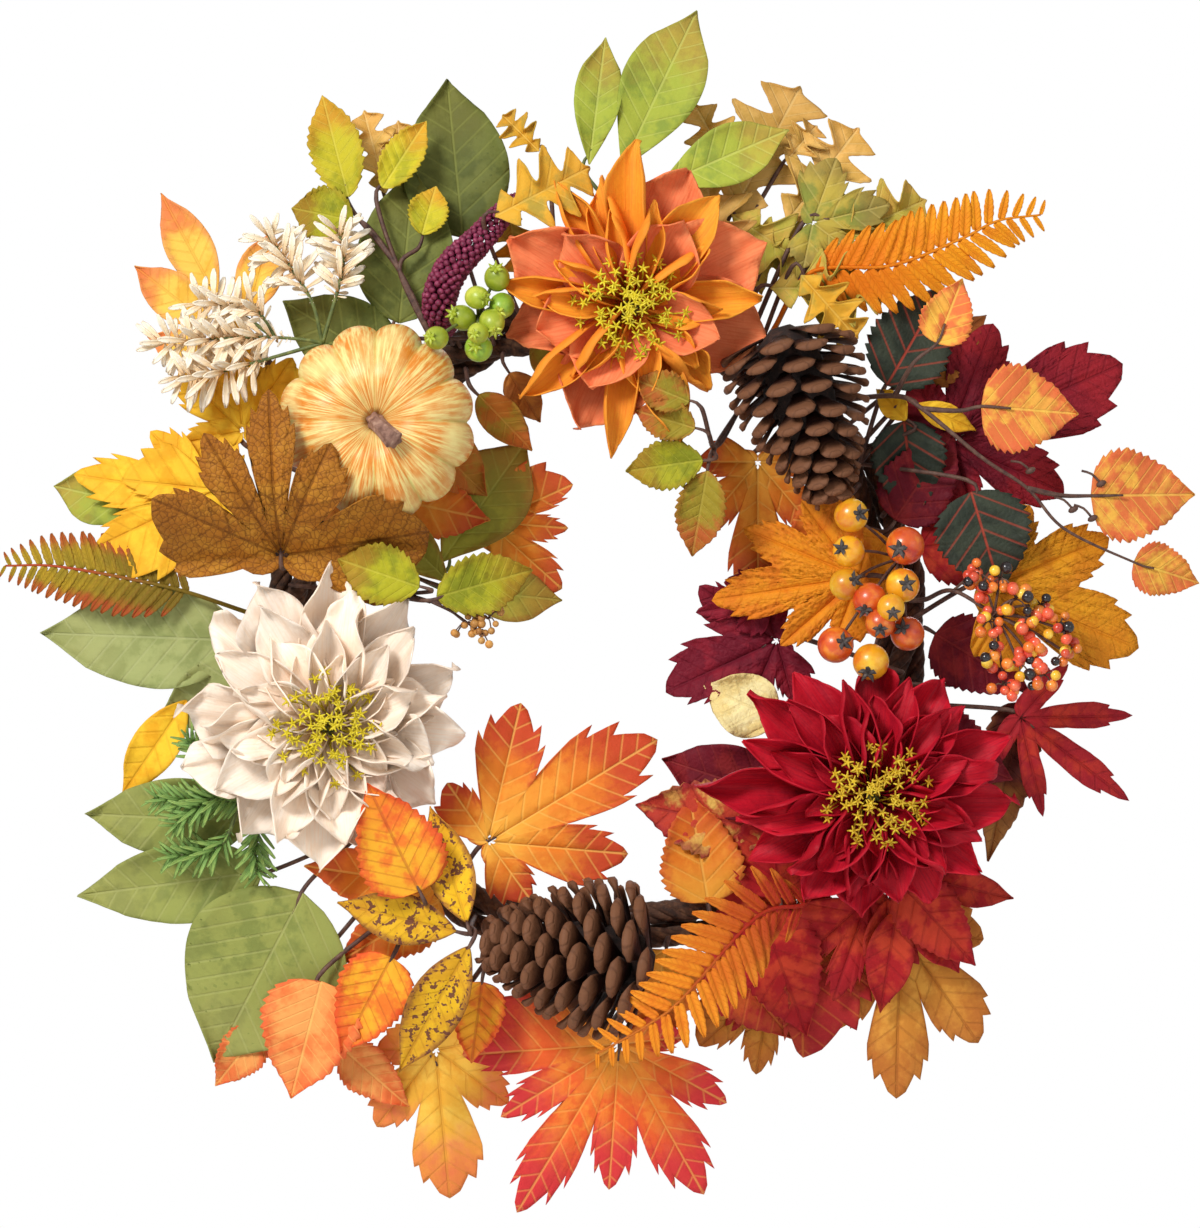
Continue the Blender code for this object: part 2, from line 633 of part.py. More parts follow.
def build_strands():
    for strand in range(STRAND_COUNT):
        path = []
        for i in range(STRAND_STEPS):
            clock = 360 * i / STRAND_STEPS
            turn = math.radians(STRAND_TURNS * clock + 360 * strand / STRAND_COUNT)
            x, z = spot(clock, HELIX_RADIUS * math.cos(turn))
            path.append(Vector((x, z, RING_DEPTH + HELIX_RADIUS * math.sin(turn))))
        shape = tube(path, STRAND_RADIUS, STRAND_SIDES, endless=True)
        solid(f"vine_strand_{strand + 1}", shape, "vine")


def hoop(clock, inner, wire, turns=12):
    """A wire ring round the vine bundle at a clock."""
    path = []
    for i in range(turns):
        turn = 2 * math.pi * i / turns
        x, z = spot(clock, (inner + wire) * math.cos(turn))
        path.append(Vector((x, z, RING_DEPTH + (inner + wire) * math.sin(turn))))
    return tube(path, wire, STEM_SIDES, endless=True)


def hoop_inner():
    return (BUNDLE_RADIUS + GAP) / math.cos(math.pi / 12) + 0.4


def build_ties():
    for name, clock in TIE_CLOCKS.items():
        solid(name, hoop(clock, hoop_inner(), TIE_RADIUS), "wire")


def build_hanger():
    """A wire hoop that swings on the vine, with a neck and an eye above it."""
    collar = hoop(HANGER_CLOCK, hoop_inner(), HANGER_WIRE)
    x, low = spot(HANGER_CLOCK, hoop_inner() + HANGER_WIRE * 0.6)
    top = RING_RADIUS + BUNDLE_RADIUS + HANGER_NECK
    neck = tube([Vector((x, low, RING_DEPTH)), Vector((0, top, RING_DEPTH))], HANGER_WIRE)
    middle = top + EYE_RADIUS - HANGER_WIRE
    eye = tube([
        Vector((EYE_RADIUS * math.sin(turn), middle + EYE_RADIUS * math.cos(turn), RING_DEPTH))
        for turn in (2 * math.pi * i / 12 for i in range(12))
    ], HANGER_WIRE, STEM_SIDES, endless=True)
    made = joined("hanging_loop", [collar, neck, eye], "wire")
    set_origin(made, place(*spot(HANGER_CLOCK, 0), RING_DEPTH))


def set_origin(made, point):
    """Moves the object's origin to its joint, with its mesh left where it is."""
    made.data.transform(Matrix.Translation(-point))
    made.location = point


def petal_dish(centre, petals, hole, depth_at):
    """A round of petals as one dish with a hole for the peg."""
    outline = []
    for i, (clock, length) in enumerate(petals):
        after = petals[(i + 1) % len(petals)]
        next_clock = after[0] + (360 if i == len(petals) - 1 else 0)
        valley = 0.62 * min(length, after[1])
        outline += [(clock - 6, length), (clock + 6, length), ((clock + next_clock) / 2, valley)]
    rows = []
    for share, face in ((0, -1), (0.5, -1), (1, 0), (0.5, 1), (0, 1)):
        row = []
        for clock, reach in outline:
            radius = hole + (reach - hole) * share
            way = heading(clock, 0)
            row.append(Vector((centre[0] + way[0] * radius, centre[1] + way[1] * radius,
                               depth_at(radius, reach) + face * PETAL_THICKNESS / 2)))
        rows.append(row)
    return skin(rows, endless=True)


def outer_petal_depth(radius, reach):
    swell = math.sin(math.pi * min(radius / reach, 1.0))
    return CALYX_FRONT + GAP + PETAL_THICKNESS / 2 + 4.0 * swell


def inner_petal_depth(radius, reach):
    seat = CALYX_FRONT + 2 * GAP + PETAL_THICKNESS * 1.5
    return seat + 0.6 + 14.0 * (radius / INNER_PETAL_REACH) ** 1.2


def build_flower(name, clock, out, petals):
    centre = spot(clock, out)
    peg_end = CALYX_FRONT + 3 * PETAL_THICKNESS + 2 * GAP
    foot = min(ring_front(clock, out, PICK_RADIUS), BUNDLE_FRONT + PICK_RADIUS + GAP)
    profile = ((PICK_RADIUS, foot), (PICK_RADIUS, CALYX_FRONT - 12), (CALYX_RADIUS, CALYX_FRONT - 3),
               (CALYX_RADIUS, CALYX_FRONT), (PEG_RADIUS, CALYX_FRONT), (PEG_RADIUS, peg_end))
    outer, inner = PETAL_COLOURS[name]
    hole = PEG_RADIUS + GAP
    solid(f"{name}_stem", turned(centre, profile, 10), "wire")
    solid(f"{name}_outer_petals", petal_dish(centre, petals, hole, outer_petal_depth), outer)
    small = tuple((clock + 20, INNER_PETAL_REACH) for clock, _ in petals)
    solid(f"{name}_inner_petals", petal_dish(centre, small, hole, inner_petal_depth), inner)
    low = peg_end + GAP
    tuft = ((4.0, low), (0.5 * TUFT_RADIUS, low + 0.5 * TUFT_HEIGHT),
            (TUFT_RADIUS, low + 0.85 * TUFT_HEIGHT), (0.6 * TUFT_RADIUS, low + TUFT_HEIGHT))
    solid(f"{name}_stamens", turned(centre, tuft, 12), "stamen")


def build_cone(name, clock, out, tip_clock):
    """A closed outline of the scales, tapering to the tip, on a wire pick."""
    centre = Vector((*spot(clock, out), CONE_DEPTH))
    way = heading(tip_clock, 0)
    along = Vector((way[0], way[1], 0))
    profile = ((0.0, 0.52), (0.06, 0.82), (0.22, 1.0), (0.45, 0.97), (0.7, 0.74), (0.88, 0.44),
               (1.0, 0.16))
    path = [centre + along * (share - 0.48) * CONE_LENGTH for share, _ in profile]
    body = tube(path, [scale * CONE_RADIUS for _, scale in profile], 12)
    foot = (clock, out)
    low = foot_points(foot, PICK_RADIUS)
    pick = tube([low[0], low[1], Vector((*spot(*foot), CONE_DEPTH - CONE_RADIUS * 0.6))],
                PICK_RADIUS, 6)
    joined(name, [body, pick], "pine_cone")


def build_pumpkin():
    """A ribbed foam pumpkin on a wire pick, with its stalk facing forwards."""
    centre = spot(*PUMPKIN_SPOT)
    seat = 5.5
    profile = [(seat, -0.80)]
    for angle in (-62, -36, -12, 12, 36, 60):
        turn = math.radians(angle)
        profile.append((PUMPKIN_RADIUS * math.cos(turn) ** 0.8, math.sin(turn)))
    profile.append((seat + 6.0, 0.90))
    profile.append((seat, 0.80))
    body = turned(centre, [(r, PUMPKIN_DEPTH + PUMPKIN_HALF_HEIGHT * h) for r, h in profile],
                  2 * PUMPKIN_RIBS, ribs=lambda k: 1.0 if k % 2 else 0.955)
    low = foot_points(PUMPKIN_SPOT, PICK_RADIUS)
    pick = tube([low[0], low[1], Vector((*centre, PUMPKIN_DEPTH - PUMPKIN_HALF_HEIGHT * 0.6))],
                PICK_RADIUS, 6)
    joined("pumpkin", [body, pick], "pumpkin_skin")
    front = PUMPKIN_DEPTH + PUMPKIN_HALF_HEIGHT * 0.80 + GAP
    stalk = [Vector((centre[0] + lean, centre[1] - lean, front + rise * PUMPKIN_STEM_LENGTH))
             for lean, rise in ((0, 0), (1.5, 0.4), (5.0, 0.75), (9.0, 1.0))]
    level_start = turned(centre, ((4.8, front), (4.0, front + 2.5)), 7)
    joined("pumpkin_stalk", [level_start, tube([stalk[0] + Vector((0, 0, 1.2))] + stalk[1:],
                                               [3.6, 3.2, 3.0, 3.8], 7)], "pumpkin_stalk")


def berry_stalks(path, berries, radius):
    """A tube from the end of a stem's path into each berry."""
    fork = path[-1]
    back = (path[-2] - fork).normalized() * radius
    return [tube([fork + back, Vector(centre)], radius, STEM_SIDES) for centre in berries]


def build_berries(name, slot, foot, stem_points, berries, stalk=0.9):
    path = foot_points(foot) + [spot_point(*point) for point in stem_points]
    centres = [spot_point(clock, out, depth) for clock, out, depth, _ in berries]
    shapes = [stem(path)] + berry_stalks(path, centres, stalk)
    for centre, (_, _, _, radius) in zip(centres, berries):
        shapes.append(ball(centre, radius, *((6, 4) if radius > 4 else (5, 3))))
    return joined(name, shapes, slot)


def twigs(foot, paths, radius, tip_radius):
    main = foot_points(foot) + [spot_point(*point) for point in paths[0]]
    radii = [STEM_RADIUS] * (len(main) - 2) + [radius, tip_radius]
    shapes = [tube(main, radii)]
    for path in paths[1:]:
        points = [spot_point(*point) for point in path]
        shapes.append(tube(points, [radius] * (len(points) - 1) + [tip_radius]))
    return shapes


def build_birch_spray():
    """A forked twig whose every tip ends a little way up a leaf's midrib."""
    shapes = []
    for twig, leaf in zip(BIRCH_TWIGS, BIRCH_LEAVES):
        _, clock, out, turn, _, _, depth, _ = leaf
        start = [] if shapes else foot_points(BIRCH_FOOT)
        end = branch(spot(clock, out), depth, heading(clock, turn))
        shapes.append(stem(start + [spot_point(*point) for point in twig] + end))
    shapes += [blade(leaf) for leaf in BIRCH_LEAVES]
    joined("birch_spray", shapes, "birch_leaf")


def build_amaranth():
    path = foot_points((333, 6)) + [spot_point(*point) for point in AMARANTH_PATH]
    radii = [STEM_RADIUS, STEM_RADIUS, 5.5, 7.0, 6.0, 4.5, 2.2]
    return solid("amaranth_spike", tube(path, radii, 8), "amaranth")


def build_rose_berry_pick():
    slot, foot, route, leaves = SPRIGS["rose_berry_pick"]
    shapes = simple_sprig(foot, route, leaves)
    centres = [spot_point(clock, out, depth) for clock, out, depth, _ in TAN_BERRIES]
    start = [foot_points(foot)[-1], spot_point(*route[-1])]
    shapes += berry_stalks(start, centres, 0.8)
    shapes += [ball(c, radius, 5, 3) for c, (_, _, _, radius) in zip(centres, TAN_BERRIES)]
    joined("rose_berry_pick", shapes, slot)


def hinge_at_foot(name, foot):
    """Puts a bendable pick's origin on its hinge, where its stem leaves the vines."""
    set_origin(bpy.data.objects[name], place(*spot(*foot), foot_points(foot)[1].z))


def build_picks():
    for name, (slot, foot, route, leaves) in SPRIGS.items():
        if name != "rose_berry_pick":
            joined(name, simple_sprig(foot, route, leaves), slot)
    build_rose_berry_pick()
    for name, (slot, foot, route, leaves) in LOBED_SPRIGS.items():
        joined(name, lobed_sprig(foot, route, leaves), slot)
    for name, (slot, foot, ribs, reach) in FERNS.items():
        build_fern(name, slot, foot, ribs, reach)
    build_birch_spray()
    build_amaranth()
    build_berries("hawthorn_pick", "hawthorn_berry", (77, -2), HAWTHORN_STEM, HAWTHORN_BERRIES)
    build_berries("berry_spray", "spray_berry", (85, 4), SPRAY_STEM, SPRAY_BERRIES)
    build_berries("rosehip_pick", "rosehip", (337, 1), ROSEHIP_STEM, ROSEHIPS)
    joined("floret_spray", twigs((320, 3), FLORET_PATHS, 2.0, 5.0), "floret")
    joined("rosemary_sprig", twigs((243, 3), ROSEMARY_PATHS, 2.5, 3.5), "rosemary")
    for name, foot in HINGED_PICKS.items():
        hinge_at_foot(name, foot)


def clear_scene():
    for made in list(bpy.data.objects):
        bpy.data.objects.remove(made, do_unlink=True)


def main():
    clear_scene()
    build_strands()
    build_ties()
    build_hanger()
    for name, (clock, out, petals) in FLOWERS.items():
        build_flower(name, clock, out, petals)
    for name, (clock, out, tip_clock) in CONES.items():
        build_cone(name, clock, out, tip_clock)
    build_pumpkin()
    build_picks()


main()
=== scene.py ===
"""Harvest door wreath, the finished look: silk leaves, flowers, cones and berries on a vine ring.

The wreath hangs in the XZ plane and its front faces -Y. A spot on it is given as a clock (degrees
clockwise from the top), as `out` (millimetres outwards from the ring's centreline) and as a depth
(millimetres forwards from the door). Points are (x, height over the ring's centre, depth) until
`in_place` turns them into metres.
"""

import math
import random

import bpy
import numpy as np
from mathutils import Matrix, Vector


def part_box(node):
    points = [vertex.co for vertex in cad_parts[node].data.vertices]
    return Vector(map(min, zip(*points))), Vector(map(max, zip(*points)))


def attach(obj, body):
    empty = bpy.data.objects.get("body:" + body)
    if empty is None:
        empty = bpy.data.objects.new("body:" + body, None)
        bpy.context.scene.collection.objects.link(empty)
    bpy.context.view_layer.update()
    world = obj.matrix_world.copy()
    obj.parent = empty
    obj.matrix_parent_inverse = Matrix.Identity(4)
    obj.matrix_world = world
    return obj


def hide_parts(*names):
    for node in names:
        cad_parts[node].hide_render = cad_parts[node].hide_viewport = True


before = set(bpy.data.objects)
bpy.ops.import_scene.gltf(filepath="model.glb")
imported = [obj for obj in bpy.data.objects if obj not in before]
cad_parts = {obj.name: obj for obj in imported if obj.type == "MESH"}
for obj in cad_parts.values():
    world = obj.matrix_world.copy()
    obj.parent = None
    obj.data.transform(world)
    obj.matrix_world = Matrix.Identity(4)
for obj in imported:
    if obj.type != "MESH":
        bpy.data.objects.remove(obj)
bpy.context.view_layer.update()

MM = 0.001
STRANDS = ("vine_strand_1", "vine_strand_2", "vine_strand_3")
STRAND_BOXES = np.array([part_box(strand) for strand in STRANDS])
RING_CENTRE = (STRAND_BOXES[:, 0].min(axis=0) + STRAND_BOXES[:, 1].max(axis=0)) / 2
RING_RADIUS = 145.0
RING_DEPTH = 12.5
BUNDLE_FRONT = 25.2  # depth of the vine ring's front, where the stems come out
FOOT_DEPTH = BUNDLE_FRONT - 6  # where a stem starts, among the vines
PICK_RADIUS = 1.8  # the stiff wire that holds a flower head, a cone or the pumpkin
WIRE_RADIUS = 1.3  # the wire of the hanging loop
DOME = 10.0  # how far the arrangement falls back 100 mm away from the ring's centreline
SILK = 0.5  # thickness of a silk leaf
GOLDEN_TURN = math.pi * (3 - math.sqrt(5))
BODY = "wreath"


# Places on the wreath

def spot(clock, out):
    """(x, height) in millimetres about the ring's centre."""
    radius = RING_RADIUS + out
    return radius * math.sin(math.radians(clock)), radius * math.cos(math.radians(clock))


def dome(x, height):
    """How far the arrangement falls back towards the door away from the ring's centreline."""
    return -DOME * ((np.hypot(x, height) - RING_RADIUS) / 100) ** 2


def spot_point(clock, out, depth):
    """A point over the door, the arrangement's dome taken off its depth."""
    x, height = spot(clock, out)
    return np.array((x, height, depth + dome(x, height)))


def in_place(points):
    """(x, height, depth) in millimetres to world metres."""
    points = np.asarray(points, float)
    turned = np.stack([points[..., 0], RING_DEPTH - points[..., 2], points[..., 1]], axis=-1)
    return turned * MM + RING_CENTRE


def heading(clock):
    """The unit direction (x, height) of a clock."""
    return math.sin(math.radians(clock)), math.cos(math.radians(clock))


def smooth_path(points, step=2.0):
    """Points on a smooth curve through the given ones, about a step apart."""
    points = [np.asarray(point, float) for point in points]
    if len(points) == 2:
        count = max(2, int(np.linalg.norm(points[1] - points[0]) / step))
        return np.linspace(points[0], points[1], count + 1)
    ends = [2 * points[0] - points[1]] + points + [2 * points[-1] - points[-2]]
    made = []
    for a, b, c, d in zip(ends, ends[1:], ends[2:], ends[3:]):
        count = max(2, int(np.linalg.norm(c - b) / step))
        for t in np.arange(count) / count:
            made.append(0.5 * (2 * b + (c - a) * t + (2 * a - 5 * b + 4 * c - d) * t ** 2
                               + (3 * b - a - 3 * c + d) * t ** 3))
    return np.array(made + [points[-1]])


# Mesh making

class Making:
    """A piece in the making. Each point carries a leaf map (distance from the vein and along it
    in millimetres, and 1 on the front) and a tone (share to the tip, share to the edge, chance)."""

    def __init__(self):
        self.points, self.maps, self.tones = [], [], []
        self.loops, self.sizes, self.faces_of = [], [], []
        self.finishes = []
        self.count = 0

    def add(self, points, leaf_map, tone, finish):
        """Adds points, and gives the number of the first of them."""
        first = self.count
        self.points.append(np.asarray(points, float).reshape(-1, 3))
        self.maps.append(np.broadcast_to(leaf_map, self.points[-1].shape))
        self.tones.append(np.broadcast_to(tone, self.points[-1].shape))
        self.count += len(self.points[-1])
        if finish not in self.finishes:
            self.finishes.append(finish)
        return first

    def face(self, corners, finish):
        """Adds a face, or a row of faces with the same number of corners."""
        corners = np.atleast_2d(corners)
        self.loops.append(corners.ravel())
        self.sizes.append(np.full(len(corners), corners.shape[1]))
        self.faces_of.append(np.full(len(corners), self.finishes.index(finish)))

    def mesh(self, name, places):
        """A mesh of the faces, its points at these places, with the leaf map and the tone."""
        mesh = bpy.data.meshes.new(name)
        loops, sizes = np.concatenate(self.loops), np.concatenate(self.sizes)
        mesh.vertices.add(self.count)
        mesh.vertices.foreach_set("co", places.ravel())
        mesh.loops.add(len(loops))
        mesh.loops.foreach_set("vertex_index", loops)
        mesh.polygons.add(len(sizes))
        mesh.polygons.foreach_set("loop_start", np.concatenate([[0], np.cumsum(sizes)[:-1]]))
        mesh.update(calc_edges=True)
        for label, rows in (("leaf_map", self.maps), ("leaf_tone", self.tones)):
            attribute = mesh.attributes.new(label, "FLOAT_VECTOR", "POINT")
            attribute.data.foreach_set("vector", np.concatenate(rows).astype(np.float32).ravel())
        mesh.shade_smooth()
        return mesh

    def made(self, name, slot, nodes=(), body=BODY):
        """The finished object, riding on its body and standing for its CAD nodes."""
        mesh = self.mesh(name, in_place(np.concatenate(self.points)))
        for finish in self.finishes:
            mesh.materials.append(finish_named(finish))
        mesh.polygons.foreach_set("material_index", np.concatenate(self.faces_of))
        return settle(bpy.data.objects.new(name, mesh), slot, nodes, body)


def settle(piece, slot, nodes, body):
    """Puts a piece in the scene, on its body and in its nodes' place. The slot is not used."""
    if piece.name not in bpy.context.scene.collection.objects:
        bpy.context.scene.collection.objects.link(piece)
    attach(piece, body)
    if nodes:
        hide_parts(*nodes)
    return piece


def sheet(making, grid, leaf_map, tone, finish, front, thick=SILK):
    """A thin closed sheet round a grid of middle points: a front, a back and a rim."""
    normal = np.cross(np.gradient(grid, axis=0), np.gradient(grid, axis=1))
    normal /= np.maximum(np.linalg.norm(normal, axis=-1, keepdims=True), 1e-9)
    if (normal @ np.asarray(front, float)).mean() < 0:
        grid, leaf_map, tone = grid[:, ::-1], leaf_map[:, ::-1], tone[:, ::-1]
        normal = -normal[:, ::-1]
    rows, cols = grid.shape[:2]
    behind = leaf_map.copy()
    behind[..., 2] = 0
    first = making.add(grid + normal * thick / 2, leaf_map.reshape(-1, 3),
                       tone.reshape(-1, 3), finish)
    making.add(grid - normal * thick / 2, behind.reshape(-1, 3), tone.reshape(-1, 3), finish)
    k = np.arange(rows * cols).reshape(rows, cols) + first
    back = rows * cols
    quads = np.stack([k[:-1, :-1], k[1:, :-1], k[1:, 1:], k[:-1, 1:]], axis=-1).reshape(-1, 4)
    border = np.concatenate([k[:, 0], k[-1, 1:], k[-2::-1, -1], k[0, -2:0:-1]])
    after = np.roll(border, -1)
    making.face(quads, finish)
    making.face(quads[:, ::-1] + back, finish)
    making.face(np.stack([after, border, border + back, after + back], axis=-1), finish)


def tube(making, path, radii, finish, sides=8, chance=0.5, flutes=0, flute_depth=0.0):
    """A closed round bar along a path, with a radius for each of its points."""
    path = np.asarray(path, float)
    radii = np.broadcast_to(np.asarray(radii, float), len(path))
    along = np.gradient(path, axis=0)
    along /= np.maximum(np.linalg.norm(along, axis=1, keepdims=True), 1e-9)
    side = np.cross(along[0], (0.31, 0.52, 0.79))
    rings = []
    angles = 2 * np.pi * np.arange(sides) / sides
    bulge = 1 + flute_depth * np.cos(flutes * angles)
    for point, way, radius in zip(path, along, radii):
        side = side - way * side.dot(way)
        side /= np.linalg.norm(side)
        other = np.cross(way, side)
        rings.append(point + radius * bulge[:, None]
                     * (np.cos(angles)[:, None] * side + np.sin(angles)[:, None] * other))
    rows = len(path)
    lengths = np.concatenate([[0], np.cumsum(np.linalg.norm(np.diff(path, axis=0), axis=1))])
    share = lengths / max(lengths[-1], 1e-6)
    leaf_map = np.stack([np.tile(angles, rows), np.repeat(lengths, sides),
                         np.ones(rows * sides)], axis=-1)
    tone = np.stack([np.repeat(share, sides), np.full(rows * sides, 0.5),
                     np.full(rows * sides, chance)], axis=-1)
    first = making.add(np.concatenate(rings), leaf_map, tone, finish)
    k = np.arange(rows * sides).reshape(rows, sides) + first
    on = np.roll(k, -1, axis=1)
    quads = np.stack([k[:-1], on[:-1], on[1:], k[1:]], axis=-1).reshape(-1, 4)
    making.face(quads, finish)
    making.face(k[0, ::-1], finish)
    making.face(k[-1], finish)


def ring_tube(making, path, radii, finish):
    """An endless round bar lying in a plane like the door's."""
    along = np.roll(path, -1, axis=0) - np.roll(path, 1, axis=0)
    along /= np.linalg.norm(along, axis=1, keepdims=True)
    forwards = np.array((0.0, 0.0, 1.0))
    side = np.cross(along, forwards)
    side /= np.linalg.norm(side, axis=1, keepdims=True)
    other = np.cross(along, side)
    rows, sides = len(path), 8
    angles = 2 * np.pi * np.arange(sides) / sides
    ring = (np.cos(angles)[None, :, None] * side[:, None] + np.sin(angles)[None, :, None]
            * other[:, None])
    grid = path[:, None] + ring * np.asarray(radii)[:, None, None]
    first = making.add(grid, (5.0, 0.0, 1.0), (0.5, 0.5, 0.5), finish)
    k = np.arange(rows * sides).reshape(rows, sides) + first
    on, up = np.roll(k, -1, axis=1), np.roll(k, -1, axis=0)
    both = np.roll(on, -1, axis=0)
    making.face(np.stack([k, on, both, up], axis=-1).reshape(-1, 4), finish)


def wire_ring(making, points):
    """A wire bent into a ring, its two ends meeting."""
    points = np.array(points, float)
    tube(making, np.vstack([points, points[:1]]), WIRE_RADIUS, "floral_wire", 12)


def ball(making, centre, radius, finish, axis=(0, 0, 1), sides=16, rings=9, chance=0.5,
         stretch=1.0):
    """A berry: round, its ends drawn in to a small flat."""
    turn = np.linspace(0.12, math.pi - 0.12, rings)
    axis = np.asarray(axis, float) / np.linalg.norm(axis)
    path = np.asarray(centre, float) - np.cos(turn)[:, None] * axis * radius * stretch
    tube(making, path, radius * np.sin(turn), finish, sides, chance)


# Leaves

LEAF_SHAPES = {  # widest place, fullness, teeth a side, depth of teeth, side veins, lobes a side
    "willow": (0.46, 0.95, 0, 0.0, 8, 0),
    "rose": (0.45, 0.72, 12, 0.13, 8, 0),
    "magnolia": (0.40, 0.80, 0, 0.0, 7, 0),
    "laurel": (0.55, 0.90, 0, 0.0, 8, 0),
    "birch": (0.30, 0.80, 14, 0.10, 7, 0),
    "coleus": (0.36, 0.76, 13, 0.12, 7, 0),
    "oak": (0.52, 0.62, 14, 0.10, 5, 4),
}


def simple_leaf(making, finish, shape, leaf, curl=6.0, cup=4.0, wave=2.2, quilt=0.9, seed=0):
    """A leaf with one midrib, toothed or lobed, quilted between its side veins and curled."""
    clock, out, turn, length, width, depth, rise = leaf
    widest, fullness, teeth, tooth, veins, lobes = LEAF_SHAPES[shape]
    chance = random.Random(f"{finish}{clock}{out}{turn}{seed}")
    rows = max(30, 4 * teeth + 1)
    t = np.linspace(0, 1, rows)[:, None]
    u = np.linspace(-1, 1, 15)[None, :]
    power = math.log(0.5) / math.log(widest)
    half = width / 2 * np.sin(np.pi * np.clip(t, 0, 1) ** power) ** fullness + 0.25
    if not lobes:
        half = half * np.clip((1.02 - t) / 0.26, 0, 1) ** 0.4
    if lobes:
        half = half * (0.70 + 0.42 * np.sin(2 * np.pi * (t * lobes - 0.15)))
    if teeth:
        saw = np.clip((t * teeth % 1) / 0.75, 0, 1)
        half = half * (1 + tooth * (saw - 0.4) * np.abs(u) ** 5 * np.minimum(1, 8 * (1 - t)))
    x = u * half
    y = length * t + 0 * u
    if lobes:
        y = y + 0.25 * np.abs(x)
    beside = np.abs(x)
    spacing = length / veins
    phase = (y - 0.75 * beside) / spacing
    edge = np.abs(u) + 0 * t
    lift = rise * t + cup * edge ** 2 * np.sin(np.pi * t) - curl * t ** 2
    lift = lift - 0.9 * np.exp(-(beside / 1.5) ** 2) * (1 - t)
    lift = lift + quilt * (0.5 - 0.5 * np.cos(2 * np.pi * phase)) * np.minimum(1, beside / 3)
    lift = lift + wave * edge ** 3 * np.sin(2 * np.pi * (1.7 * t + chance.random()
                                                         + 0.31 * np.sign(u)))
    lift = lift * np.minimum(1, 0.15 + 4 * t)
    base = spot(clock, out)
    along = heading(clock + turn)
    across = (along[1], -along[0])
    px = base[0] + along[0] * y + across[0] * x
    pz = base[1] + along[1] * y + across[1] * x
    grid = np.stack([px, pz, depth + lift + dome(px, pz)], axis=-1)
    leaf_map = np.stack([beside, y, np.ones_like(y)], axis=-1)
    tone = np.stack([t + 0 * u, edge, np.full_like(y, chance.random())], axis=-1)
    sheet(making, grid, leaf_map, tone, finish, (0, 0, 1))


TOOTHED = ((1.0, 0.42), (0.88, 0.66), (0.76, 0.79), (0.68, 0.72), (0.50, 0.90), (0.41, 0.83),
           (0.16, 0.96), (0.0, 1.0))  # (share of the way to the notch, share of the length)
SCALLOPED = ((1.0, 0.50), (0.86, 0.70), (0.74, 0.80), (0.64, 0.78), (0.50, 0.90), (0.38, 0.86),
             (0.18, 0.96), (0.0, 1.0))
FINGERED = ((1.0, 0.22), (0.66, 0.42), (0.48, 0.66), (0.30, 0.80), (0.22, 0.78), (0.10, 0.93),
            (0.0, 1.0))


def lobe_rays(lobes, outline, notch, steps=5):
    """(angle, reach, lobe angle, lobe length) of each ray from the leaf's base to its edge."""
    rays = []
    last = len(lobes) - 1
    for i, (angle, length) in enumerate(lobes):
        for side in (-1, 1):
            edge = (i == 0 and side < 0) or (i == last and side > 0)
            if edge:
                gap, low = min(0.75 * (176 - abs(angle)), 44), 0.30 * length
            else:
                other = lobes[i + side]
                gap = abs(other[0] - angle) / 2
                low = notch * min(length, other[1])
            corners = [(share, low if k == 0 else length * reach)
                       for k, (share, reach) in enumerate(outline)]
            if side > 0:
                corners = corners[::-1]
            if edge:
                base = (176 - abs(angle)) / gap
                corners = [(base, 3.0)] + corners if side < 0 else corners + [(base, 3.0)]
            for (a, reach), (b, next_reach) in zip(corners, corners[1:]):
                for k in range(steps):
                    share = k / steps
                    rays.append((angle + side * gap * (a + (b - a) * share),
                                 reach + (next_reach - reach) * share, angle, length))
    rays.append((176, 3.0, *lobes[-1]))
    return np.array(rays)


